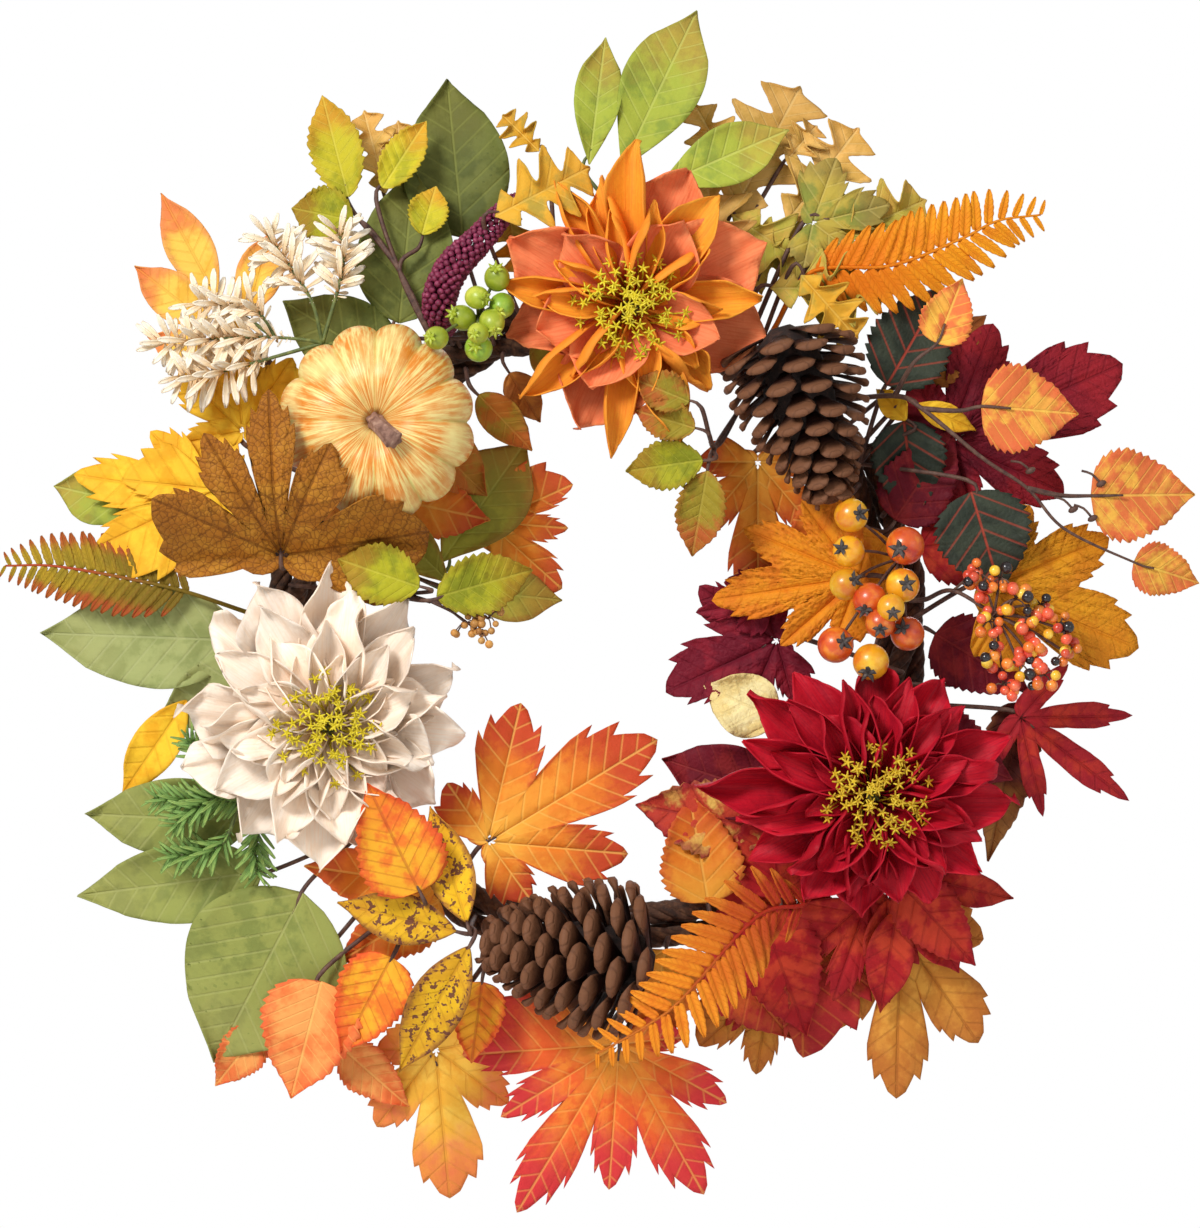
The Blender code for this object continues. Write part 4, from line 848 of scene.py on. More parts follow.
# Hard parts: (material, colour, darker and lighter blotches, pattern scale per metre, roughness,
# clear coat, bump)
SOLID_FINISHES = {
    # Grapevine bark: rough and split, with no shine
    "vine_bark": ("dried_grapevine", "#4a2f20", "#2c1a12", "#6b4a33", 260.0, 0.85, 0.0, 1.0),
    # Stems bound in crinkled paper tape
    "stem_brown": ("paper_wrapped_wire", "#5a3c30", "#442a24", "#6e5040", 300.0, 0.6, 0.0, 0.5),
    "stem_green": ("paper_wrapped_wire", "#5f6b34", "#4a562a", "#7d8444", 300.0, 0.55, 0.0, 0.3),
    # Enamelled wire: smooth, with a dull gleam
    "floral_wire": ("enamelled_wire", "#3a4a2c", "#2c3a22", "#4c5e38", 500.0, 0.5, 0.0, 0.3),
    # Foam berries dipped in lacquer: soft blotches under a glossy coat
    "hawthorn_berry": ("lacquered_foam", "#db5a20", "#c2321a", "#ee8a2a", 120.0, 0.28, 0.25, 0.15),
    "gold_berry": ("lacquered_foam", "#e8a21e", "#dd7a1c", "#f6c83c", 120.0, 0.28, 0.25, 0.15),
    # Dried husk: dark and dusty
    "calyx_grey": ("dried_husk", "#4a4341", "#2f2b2b", "#6a605a", 400.0, 0.75, 0.0, 0.6),
    # Small lacquered beads, the glossiest thing on the wreath
    "spray_orange": ("lacquered_bead", "#e57a2c", "#d9582a", "#f09a3c", 150.0, 0.25, 0.3, 0.05),
    "spray_coral": ("lacquered_bead", "#e8593a", "#cc3a28", "#f07a50", 150.0, 0.25, 0.3, 0.05),
    "spray_yellow": ("lacquered_bead", "#f0bc30", "#e39a22", "#f8d860", 150.0, 0.25, 0.3, 0.05),
    "spray_black": ("lacquered_bead", "#231c1e", "#151214", "#38302f", 150.0, 0.2, 0.4, 0.05),
    # Painted foam: an even, half-matt skin
    "tan_berry": ("painted_foam", "#c48a42", "#a86a2c", "#dba860", 200.0, 0.5, 0.0, 0.3),
    # Moulded hips: a thin waxy shine
    "rosehip_skin": ("moulded_pvc", "#a3b22c", "#8a9c26", "#c8cc4c", 130.0, 0.38, 0.12, 0.15),
    "rosehip_green": ("moulded_pvc", "#93b834", "#7ba02a", "#b8cc50", 130.0, 0.38, 0.12, 0.15),
    # Flocked seed: velvety, so it scatters light
    "amaranth_seed": ("flocked_foam", "#7c2143", "#5a1432", "#a03c60", 600.0, 0.5, 0.0, 0.5),
    # Moulded stamens and their button: even, half-matt plastic
    "stamen_tip": ("moulded_polyethylene", "#cdb812", "#a89412", "#e2d030", 500.0, 0.5, 0.0, 0.3),
    "stamen_gold": ("moulded_polyethylene", "#c8a416", "#a07a14", "#e2c634", 500.0, 0.5, 0.0, 0.3),
    "button_green": ("moulded_polyethylene", "#7d8548", "#5e6a38", "#a0a060", 500.0, 0.7, 0.0, 0.8),
    # The stalk: ridged grey wood
    "stalk_wood": ("carved_wood", "#8e6a5a", "#6e4c40", "#b08c78", 260.0, 0.8, 0.0, 0.9),
    # The cone's core, painted near black as the shade deep between the scales
    "cone_core": ("pine_wood", "#24140f", "#180d0a", "#3a2218", 300.0, 0.85, 0.0, 0.8),
}


def hard(tree, shader, look):
    """Two blotch colours over a ground, a fine grain, and a clear coat where it is lacquered."""
    _, ground, dark, light, scale, roughness, coat, bump = look
    where = add(tree, "ShaderNodeTexCoord").outputs["Object"]
    leaf_tone = add(tree, "ShaderNodeAttribute", attribute_name="leaf_tone").outputs["Vector"]
    _, _, chance = add(tree, "ShaderNodeSeparateXYZ", {0: leaf_tone}).outputs
    broad = add(tree, "ShaderNodeTexNoise", {"Vector": where, "Scale": scale,
                                             "Detail": 4.0})
    grain = add(tree, "ShaderNodeTexNoise", {"Vector": where, "Scale": scale * 4,
                                             "Detail": 3.0})
    darker = add(tree, "ShaderNodeMapRange", {0: broad, 1: 0.52, 2: 0.66})
    lighter = add(tree, "ShaderNodeMapRange", {0: broad, 1: 0.46, 2: 0.32})
    colour = add(tree, "ShaderNodeMix", {0: darker, 6: linear(ground), 7: linear(dark)},
                 data_type="RGBA").outputs[2]
    colour = add(tree, "ShaderNodeMix", {0: lighter, 6: colour, 7: linear(light)},
                 data_type="RGBA").outputs[2]
    value = add(tree, "ShaderNodeMapRange", {0: chance, 3: 0.82, 4: 1.15})
    toned = add(tree, "ShaderNodeHueSaturation", {"Value": value, "Color": colour})
    link(tree, toned, shader.inputs["Base Color"])
    worn = add(tree, "ShaderNodeMapRange", {0: grain, 3: roughness - 0.05,
                                            4: roughness + 0.10})
    link(tree, worn, shader.inputs["Roughness"])
    relief = add(tree, "ShaderNodeBump", {"Height": grain, "Strength": 0.5 * bump,
                                          "Distance": 0.001})
    link(tree, relief, shader.inputs["Normal"])
    shader.inputs["Coat Weight"].default_value = coat
    shader.inputs["Coat Roughness"].default_value = 0.12


def pumpkin_paint(tree, shader, _):
    """Painted foam: cream skin, orange streaks down each rib and greenish grooves, half gloss."""
    leaf_map = add(tree, "ShaderNodeAttribute", attribute_name="leaf_map").outputs["Vector"]
    leaf_tone = add(tree, "ShaderNodeAttribute", attribute_name="leaf_tone").outputs["Vector"]
    where = add(tree, "ShaderNodeTexCoord").outputs["Object"]
    _, groove, _ = add(tree, "ShaderNodeSeparateXYZ", {0: leaf_tone}).outputs
    stretched = add(tree, "ShaderNodeVectorMath", {0: leaf_map, 1: (0.55, 0.045, 0.0)},
                    operation="MULTIPLY")
    streaks = add(tree, "ShaderNodeTexNoise", {"Vector": stretched, "Scale": 1.0, "Detail": 5.0,
                                               "Roughness": 0.62})
    clouds = add(tree, "ShaderNodeTexNoise", {"Vector": where, "Scale": 38.0,
                                              "Detail": 3.0})
    grain = add(tree, "ShaderNodeTexNoise", {"Vector": where, "Scale": 700.0,
                                             "Detail": 2.0})
    orange = add(tree, "ShaderNodeMapRange", {0: streaks, 1: 0.40, 2: 0.56})
    patch = add(tree, "ShaderNodeMapRange", {0: clouds, 1: 0.30, 2: 0.54})
    orange = add(tree, "ShaderNodeMath", {0: orange, 1: patch}, operation="MULTIPLY")
    green = add(tree, "ShaderNodeMapRange", {0: groove, 1: 0.32, 2: 0.02})
    green = add(tree, "ShaderNodeMath", {0: green, 1: 0.55}, operation="MULTIPLY")
    colour = linear("#f0df92")
    for covered, code in ((patch, "#ecd688"), (green, "#b9b850"), (orange, "#db8426")):
        colour = add(tree, "ShaderNodeMix", {0: covered, 6: colour, 7: linear(code)},
                     data_type="RGBA").outputs[2]
    link(tree, colour, shader.inputs["Base Color"])
    height = add(tree, "ShaderNodeMath", {0: grain, 1: 0.5, 2: streaks},
                 operation="MULTIPLY_ADD")
    relief = add(tree, "ShaderNodeBump", {"Height": height, "Strength": 0.25,
                                          "Distance": 0.001})
    link(tree, relief, shader.inputs["Normal"])
    shader.inputs["Roughness"].default_value = 0.42


MADE_FINISHES = {}


def finish_named(name):
    """The material of a finish, made once."""
    if name in MADE_FINISHES:
        return MADE_FINISHES[name]
    if name in SILK_FINISHES:
        look, paint = SILK_FINISHES[name], silk
        label = f"{name}_{look.get('made', 'polyester_silk')}"
    elif name in SOLID_FINISHES:
        look, paint = SOLID_FINISHES[name], hard
        label = f"{name}_{look[0]}"
    else:
        look, paint, label = None, pumpkin_paint, "pumpkin_painted_foam"
    made = MADE_FINISHES[name] = bpy.data.materials.new(label)
    made.use_nodes = True
    paint(made.node_tree, made.node_tree.nodes["Principled BSDF"], look)
    return made


# Leaf sprigs

# Sprigs of simple leaves: node (or none), slot, foot (clock, out), route (clock, out, depth),
# stem finish, then leaves as (finish, shape, clock, out, turn, length, width, depth, rise)
SPRIGS = {
    "willow_sprig": ("willow_leaf", (309, 2), [(309, 50, 34)], "stem_brown", [
        ("willow_leaf", "willow", 311, 94, 20, 58, 22, 32, 0),
        ("willow_leaf", "willow", 308, 89, 0, 46, 22, 32, 0),
        ("willow_leaf", "willow", 305, 75, -15, 36, 18, 32, 0),
        ("willow_leaf", "willow", 312, 77, 63, 42, 22, 32, 0),
    ]),
    "yellow_rose_sprig": ("rose_leaf", (330, 3), [(330, 4, 50), (331, 46, 51)], "stem_brown", [
        ("yellow_rose", "rose", 330, 89, 15, 51, 24, 50, 0),
        ("rose_leaf", "rose", 329, 78, -46, 30, 26, 50, 0),
        ("yellow_rose", "rose", 334, 85, 58, 38, 18, 50, 0),
        ("yellow_rose", "rose", 336, 57, 39, 24, 18, 50, 0),
    ]),
    "magnolia_sprig_top": ("magnolia_leaf", (340, 1), [], "stem_brown", [
        ("magnolia_dark", "magnolia", 341, 50, 13, 77, 50, 33, 0),
        ("magnolia_dark", "magnolia", 327, 26, 38, 74, 46, 41, 0),
    ]),
    "laurel_sprig_top": ("laurel_leaf", (13, 2), [(10, 30, 46)], "stem_green", [
        ("laurel_leaf", "laurel", 359, 73, 8, 62, 22, 46, 0),
        ("laurel_leaf", "laurel", 3, 71, 22, 85, 38, 46, 0),
        ("laurel_leaf", "laurel", 8, 65, 58, 67, 28, 46, 0),
    ]),
    "oak_sprig": ("oak_leaf", (19, -2), [(19, 30, 30)], "stem_brown", [
        ("oak_leaf", "oak", 18, 60, 10, 71, 46, 31, 0),
        ("green_oak", "oak", 17, 42, 80, 58, 34, 31, 0),
        ("green_oak", "oak", 18, 60, 106, 60, 33, 35, 0),
        ("oak_leaf", "oak", 18, 74, -46, 46, 24, 29, 0),
        ("oak_leaf", "oak", 22, 93, 18, 23, 19, 34, 0),
    ]),
    "coleus_sprig": ("coleus_leaf", (58, 1), [], "stem_brown", [
        ("coleus_leaf", "coleus", 50, 33, -20, 55, 38, 38, 0),
        ("coleus_leaf", "coleus", 56, 29, 117, 45, 34, 38, 0),
        ("coleus_leaf", "coleus", 70, 41, 93, 49, 44, 54, 0),
    ]),
    "red_sprig": ("red_leaf", (128, 2), [], "stem_brown", [
        ("red_leaf", "willow", 127, 52, -24, 40, 16, 48, 0),
        ("red_leaf", "willow", 130, 51, 21, 42, 24, 48, 0),
        ("red_leaf", "willow", 133, 47, 55, 51, 22, 48, 0),
    ]),
    "birch_sprig": ("birch_leaf", (214, 0), [(214, 6, 40)], "stem_brown", [
        ("sprig_birch", "birch", 214, 2, 120, 56, 40, 84, 4),
        ("salmon_birch", "birch", 218, 65, -23, 58, 46, 56, 0),
        ("sprig_birch", "birch", 212, 36, -4, 52, 34, 62, 0),
    ]),
    "speckled_sprig": ("speckled_leaf", (203, 3), [(203, 6, 60)], "stem_brown", [
        ("speckled_leaf", "willow", 205, 10, 78, 57, 23, 77, 0),
        ("speckled_leaf", "willow", 204, 4, 138, 56, 22, 77, 0),
        ("speckled_leaf", "willow", 202, 14, 7, 68, 26, 77, 0),
    ]),
    "magnolia_sprig_lower": ("magnolia_leaf", (229, 1), [], "stem_brown", [
        ("magnolia_pale", "magnolia", 228, 41, -20, 92, 78, 46, 0),
        ("magnolia_pale", "magnolia", 234, 50, 28, 90, 38, 38, 0),
        ("magnolia_pale", "magnolia", 241, 43, 31, 79, 38, 31, 0),
    ]),
    "magnolia_leaf_left": ("magnolia_leaf", (266, 1), [], "stem_brown", [
        ("magnolia_light", "magnolia", 268, 23, 4, 97, 48, 31, 0),
    ]),
    "laurel_sprig_left": ("laurel_leaf", (290, -3), [], "stem_green", [
        ("olive_leaf", "laurel", 293, -65, 102, 70, 40, 34, 0),
        ("olive_leaf", "laurel", 285, -73, 171, 53, 25, 34, 0),
        ("laurel_leaf", "laurel", 285, 73, -2, 49, 27, 34, 0),
    ]),
    "bronze_rose_sprig": ("bronze_rose", (33, -6), [(33, -22, 33), (33, -44, 62)],
                          "stem_brown", [
        ("bronze_rose", "rose", 22, -32, -89, 27, 18, 84, 0),
        ("bronze_rose", "rose", 26, -42, -99, 29, 18, 82, 0),
        ("rose_leaf", "rose", 32, -53, -130, 36, 22, 78, 0),
        ("bronze_rose", "rose", 35, -56, 155, 40, 22, 76, 0),
    ]),
    "mixed_leaf_pick": ("cream_leaf", (119, -2), [(119, -22, 33)], "stem_brown", [
        ("cream_leaf", "magnolia", 117, -50, 178, 38, 30, 44, 0),
        ("wine_leaf", "magnolia", 133, -28, 155, 58, 34, 34, 0),
        ("painted_leaf", "coleus", 140, -22, 140, 62, 36, 40, 0),
    ]),
    "filler_leaves_top": ("oak_leaf", (345, 6), [], "stem_brown", [
        ("ochre_oak", "oak", 346, 52, 76, 50, 34, 76, 0),
        ("ochre_oak", "oak", 353, 81, -37, 25, 16, 44, 0),
        ("ochre_oak", "oak", 348, 55, -177, 30, 19, 52, 0),
        ("oak_leaf", "oak", 334, 84, 11, 42, 22, 27, 0),
        ("oak_leaf", "oak", 336, 81, 19, 35, 18, 27, 0),
        ("oak_leaf", "oak", 25, 66, 12, 58, 36, 33, 0),
        ("green_oak", "oak", 31, 66, 34, 52, 32, 37, 0),
        ("oak_leaf", "oak", 20, 30, -30, 54, 36, 35, 0),
        ("green_oak", "oak", 27, 34, 62, 56, 34, 42, 0),
        ("ochre_oak", "oak", 30, 46, 108, 40, 26, 46, 0),
    ]),
    "filler_leaves_right": ("birch_leaf", (54, 4), [], "stem_brown", [
        ("brown_leaf", "birch", 51, 42, 1, 50, 29, 29, 0),
        ("yellow_maple", "willow", 56, 30, -98, 20, 12, 41, 0),
        ("yellow_maple", "willow", 55, 38, 57, 31, 12, 42, 0),
        ("red_leaf", "birch", 76, 12, 8, 56, 38, 34, 0),
        ("wine_leaf", "birch", 70, 4, -36, 52, 34, 36, 0),
        ("crinkled_maple", "birch", 73, -2, 150, 50, 36, 38, 0),
        ("wine_leaf", "birch", 91, 14, 30, 52, 34, 36, 0),
        ("orange_maple", "birch", 62, -10, 160, 44, 30, 36, 0),
    ]),
    "filler_leaves_low": ("red_leaf", (132, 6), [], "stem_brown", [
        ("red_leaf", "birch", 130, 41, 8, 53, 30, 52, 0),
        ("red_leaf", "willow", 133, 41, 45, 50, 24, 46, 0),
        ("dry_leaf", "birch", 100, 58, 91, 77, 27, 27, 0),
        ("orange_maple", "birch", 158, -6, -168, 52, 38, 42, 0),
        ("red_leaf", "birch", 146, 8, -150, 56, 40, 40, 0),
        ("red_leaf", "birch", 150, 10, 10, 62, 40, 40, 0),
        ("scarlet_maple", "birch", 160, 14, -20, 58, 38, 36, 0),
        ("red_leaf", "willow", 118, 20, 40, 60, 26, 44, 0),
        ("wine_leaf", "birch", 108, 8, 8, 56, 36, 36, 0),
        ("orange_maple", "birch", 168, 10, 24, 52, 36, 34, 0),
    ]),
    "filler_leaves_left": ("birch_leaf", (213, 5), [], "stem_brown", [
        ("orange_maple", "birch", 212, -3, 66, 63, 34, 52, 0),
        ("orange_maple", "birch", 210, 3, 29, 57, 30, 47, 0),
        ("salmon_birch", "birch", 220, 104, -1, 34, 22, 40, 0),
        ("sprig_birch", "birch", 198, 29, -10, 39, 24, 56, 0),
        ("salmon_birch", "birch", 211, 87, -79, 41, 23, 40, 0),
    ]),
    "filler_leaves_inner": ("rose_leaf", (286, -8), [], "stem_brown", [
        ("rust_leaf", "magnolia", 333, -22, 163, 36, 18, 42, 0),
        ("brown_leaf", "magnolia", 341, -18, 167, 27, 16, 36, 0),
        ("olive_leaf", "laurel", 287, -72, 28, 44, 20, 44, 0),
        ("yellow_maple", "willow", 260, 52, -45, 56, 22, 31, 0),
        ("brown_leaf", "willow", 291, 59, 24, 28, 12, 29, 0),
        ("magnolia_light", "magnolia", 262, 6, -12, 62, 38, 32, 0),
        ("brown_leaf", "magnolia", 296, 4, 166, 50, 34, 34, 0),
        ("yellow_maple", "birch", 306, 14, -10, 60, 40, 32, 0),
        ("magnolia_dark", "magnolia", 322, 8, -20, 64, 40, 36, 0),
        ("rust_leaf", "magnolia", 318, -20, 176, 44, 28, 38, 0),
        ("olive_leaf", "laurel", 350, 6, 170, 40, 26, 36, 0),
        ("orange_maple", "birch", 302, -30, 160, 48, 32, 36, 0),
    ]),
}
# How strongly a shape of leaf is quilted, cupped and waved
SHAPE_STYLES = {
    "magnolia": dict(quilt=1.5, cup=6.0, wave=4.0),
    "coleus": dict(quilt=1.2, wave=2.8),
    "willow": dict(curl=9.0, cup=3.0),
}
FILLER = "filler"  # groups whose names start so stand for no CAD node

# Lobed leaves: slot, foot, then leaves as (finish, (clock, out, turn, depth, rise, lobes), style)
LOBED = {
    "yellow_maple_sprig": ("yellow_maple", (298, 1), [
        ("yellow_maple",
         (299, 46, 55, 38, 0, ((-95, 29), (-40, 42), (0, 54), (40, 42), (95, 29))), {}),
        ("yellow_maple",
         (289, 44, -10, 42, 0, ((-80, 30), (-35, 45), (0, 70), (35, 45), (80, 30))), {}),
    ]),
    "green_maple_leaf": ("green_maple", (28, 1), [
        ("green_maple", (28, 71, 48, 43, 0, ((-56, 33), (0, 38), (51, 22), (116, 22))), {}),
    ]),
    "burgundy_maple_leaf": ("burgundy_maple", (68, 2), [
        ("burgundy_maple",
         (62, 43, 4, 31, 0, ((-95, 34), (-45, 60), (0, 92), (48, 60), (95, 34))),
         dict(crinkle=1.6, spacing=5.0, notch=0.62, outline=SCALLOPED)),
    ]),
    "mustard_maple_leaf": ("mustard_maple", (89, 1), [
        ("mustard_maple", (84, 40, 28, 46, 0, ((-85, 43), (-44, 62), (0, 77), (48, 42))),
         dict(crinkle=1.7, spacing=5.0, notch=0.68, outline=SCALLOPED)),
    ]),
    "red_maple_leaf": ("red_maple", (104, 2), [
        ("red_maple",
         (102, 59, 25, 37, 0, ((-85, 34), (-38, 54), (0, 66), (40, 48), (85, 30))),
         dict(outline=FINGERED, notch=0.26)),
    ]),
    "bronze_maple_leaf": ("bronze_maple", (141, 1), [
        ("bronze_maple",
         (135, 57, 46, 33, 0, ((-85, 40), (-36, 66), (0, 80), (34, 58), (85, 36))),
         dict(outline=SCALLOPED, notch=0.5, wave=3.0)),
    ]),
    "orange_maple_inner": ("orange_maple", (209, -2), [
        ("centre_maple",
         (207, -32, -148, 41, 0, ((-94, 34), (-46, 67), (0, 93), (36, 66), (85, 34))), {}),
    ]),
    "flame_maple_leaf": ("flame_maple", (176, 1), [
        ("flame_maple",
         (177, 51, 7, 43, 0,
          ((-100, 30), (-65, 58), (-33, 83), (0, 70), (27, 94), (54, 66), (82, 74))), {}),
    ]),
    "gold_maple_leaf": ("gold_maple", (196, 1), [
        ("gold_maple", (201, 68, -26, 36, 0, ((-95, 28), (-48, 43), (0, 72), (42, 47), (95, 28))),
         dict(outline=SCALLOPED, notch=0.55)),
    ]),
    "fatsia_leaf": ("fatsia_leaf", (284, 2), [
        ("fatsia_leaf",
         (283, 6, 74, 67, 39, ((-63, 63), (-28, 65), (0, 76), (29, 57), (84, 70))),
         dict(outline=SCALLOPED, notch=0.36, crinkle=1.3, spacing=7.0, curl=3.0)),
    ]),
    "orange_maple_right": ("orange_maple", (51, -3), [
        ("orange_maple", (44, -36, 136, 31, 0, ((-90, 28), (-40, 42), (0, 68), (40, 42), (90, 28))),
         {}),
    ]),
    "crinkled_maple_leaf": ("crinkled_maple", (81, -1), [
        ("crinkled_maple",
         (79, -20, -178, 52, 0, ((-60, 34), (-32, 49), (0, 70), (32, 59), (62, 45))),
         dict(crinkle=1.7, spacing=5.0, notch=0.7, outline=SCALLOPED)),
    ]),
    "crimson_maple_inner": ("crimson_maple", (98, -3), [
        ("crimson_maple", (94, -60, 151, 38, 0, ((-80, 30), (-42, 42), (0, 58), (60, 45), (95, 24))),
         dict(crinkle=1.2, spacing=6.0)),
        ("crimson_maple", (81, -62, 180, 42, 0, ((-30, 22), (0, 36), (30, 24))),
         dict(crinkle=1.2, spacing=6.0)),
    ]),
    "filler_maples": ("red_maple", (139, 4), [
        ("red_leaf", (135, 35, 64, 42, 0, ((-35, 44), (0, 51), (29, 44))), {}),
        ("scarlet_maple", (143, 14, 57, 34, 0, ((-21, 76), (8, 73), (36, 48))), {}),
        ("bronze_maple", (154, 42, 35, 28, 0, ((-37, 29), (0, 44), (40, 45))), {}),
        ("yellow_maple", (290, 45, -45, 44, 0, ((-82, 29), (0, 65), (31, 46))), {}),
        ("orange_maple", (314, -73, 140, 30, 0, ((-28, 44), (0, 38), (38, 47))), {}),
    ]),
}


def nearest_foot(clock, out):
    """Where the stem of a leaf of its own starts, on its side of the vines."""
    return clock, 8 if out > 8 else -8


def leaf_group(making, name, slot):
    """The finished leaves: filler stands for nothing, any other group for the node of its name."""
    if name.startswith(FILLER):
        making.made(name, slot)
    else:
        making.made(f"{name}_silk", slot, (name,))


def build_sprigs():
    """The sprigs of simple leaves, each leaf a little in front of the one before it."""
    for name, (slot, foot, route, stem_finish, leaves) in SPRIGS.items():
        making = Making()
        for number, (finish, shape, *leaf) in enumerate(leaves):
            clock, out, turn, length, width, depth, rise = leaf
            depth += 0.4 * number
            start = nearest_foot(clock, out) if name.startswith(FILLER) else foot
            leaf_stem(making, start, route, (clock, out, turn, depth), length * 0.12, stem_finish)
            simple_leaf(making, finish, shape, (clock, out, turn, length, width, depth, rise),
                        seed=number, **SHAPE_STYLES.get(shape, {}))
        leaf_group(making, name, slot)


def build_lobed():
    """The lobed leaves, each after a group's first on a stem of its own."""
    for name, (slot, foot, leaves) in LOBED.items():
        making = Making()
        for number, (finish, leaf, style) in enumerate(leaves):
            clock, out, turn, depth = leaf[:4]
            start = nearest_foot(clock, out) if number or name.startswith(FILLER) else foot
            leaf_stem(making, start, [], (clock, out, turn, depth), 8, "stem_brown", 1.2)
            lobed_leaf(making, finish, leaf, seed=number, **style)
        leaf_group(making, name, slot)


# Flowers

FLOWERS = {
    "orange_flower": (6, 5), "cream_flower": (250, -12), "red_flower": (121, 5),
}
CALYX_FRONT = 58.0
# Rounds of petals from the back to the front: finish, (clock, length)s, width, start height over
# the calyx, tilt at base and tip, cup, fold, wave
PETAL_ROUNDS = {
    "orange_flower": {
        "outer": [
            ("coral_petal", ((24, 66), (64, 66), (102, 60), (206, 58), (256, 56), (300, 62)),
             44, 1, (12, -4), 0.25, 0.0, 4.0),
            ("orange_petal", ((2, 76), (42, 64), (84, 58), (142, 50), (164, 66), (188, 68),
                              (230, 64), (280, 60), (324, 66), (344, 60)),
             27, 4, (24, -10), 0.75, 0.1, 2.4),
        ],
        "inner": [
            ("coral_petal", ((30, 46), (110, 44), (200, 42), (250, 44), (320, 46)),
             36, 7, (34, 4), 0.4, 0.0, 3.2),
            ("orange_petal", ((8, 50), (52, 44), (86, 42), (132, 40), (166, 42), (224, 42),
                              (276, 44), (300, 40), (346, 46)),
             21, 8, (36, -4), 0.7, 0.15, 2.0),
        ],
    },
    "cream_flower": {
        "outer": [
            ("cream_petal", ((0, 74), (32, 66), (62, 62), (95, 60), (126, 58), (158, 62),
                             (190, 64), (220, 64), (248, 68), (278, 68), (308, 70), (336, 72)),
             36, 1, (12, -6), 0.35, 0.0, 4.6),
            ("cream_petal", ((14, 62), (46, 58), (78, 54), (110, 50), (140, 50), (172, 54),
                             (204, 56), (236, 58), (268, 58), (300, 60), (330, 62)),
             31, 5, (26, -4), 0.45, 0.1, 4.0),
        ],
        "inner": [
            ("cream_petal", ((0, 48), (36, 46), (72, 44), (108, 40), (144, 40), (180, 42),
                             (216, 44), (252, 44), (288, 46), (324, 48)),
             27, 7, (32, -2), 0.5, 0.12, 3.6),
            ("cream_petal", ((18, 34), (58, 33), (98, 32), (138, 30), (178, 32), (218, 32),
                             (258, 32), (298, 34), (338, 34)),
             20, 8, (40, 4), 0.6, 0.15, 1.8),
        ],
    },
    "red_flower": {
        "outer": [
            ("red_petal", ((0, 60), (30, 60), (62, 66), (92, 64), (122, 58), (152, 54), (182, 54),
                           (212, 56), (242, 62), (276, 80), (304, 72), (332, 64)),
             30, 1, (12, -6), 0.5, 0.22, 3.8),
            ("red_petal", ((15, 54), (46, 56), (77, 56), (107, 52), (137, 48), (167, 48),
                           (197, 48), (227, 52), (259, 64), (290, 64), (318, 58), (346, 54)),
             27, 5, (26, -4), 0.6, 0.2, 3.2),
        ],
        "inner": [
            ("red_petal", ((0, 44), (36, 46), (72, 44), (108, 42), (144, 40), (180, 40),
                           (216, 42), (252, 48), (288, 50), (324, 46)),
             25, 7, (32, -2), 0.55, 0.2, 3.0),
            ("red_petal", ((18, 32), (58, 33), (98, 32), (138, 30), (178, 30), (218, 32),
                           (258, 34), (298, 34), (338, 33)),
             18, 8, (40, 4), 0.6, 0.15, 1.6),
        ],
    },
}
PETAL_SLOTS = {"orange_flower": ("orange_petal", "coral_petal"),
               "cream_flower": ("cream_petal", "cream_petal"),
               "red_flower": ("red_petal", "red_petal")}


def star_stamen(making):
    """A thin filament with a small star of anthers at its end."""
    filament = np.array([(0, 0, 0), (0.2, 0, 8), (0.9, 0, 15), (2.2, 0, 21)], float)
    tube(making, filament, (0.55, 0.45, 0.42, 0.5), "stamen_tip", 4, 0.4)
    for k in range(5):
        turn = 2 * math.pi * k / 5
        reach = np.array((math.cos(turn) * 2.9, math.sin(turn) * 2.9, 0.9))
        tube(making, [filament[-1] - reach * 0.1, filament[-1] + reach], (0.75, 0.3),
             "stamen_tip", 4, 0.8)


def facing_forwards(mesh, centre):
    """Turns a mesh made round the Z axis to face -Y, with its foot at a point in millimetres."""
    turn = Matrix.Rotation(math.radians(90), 4, "X")
    mesh.transform(Matrix.Translation(Vector(in_place(centre))) @ turn)


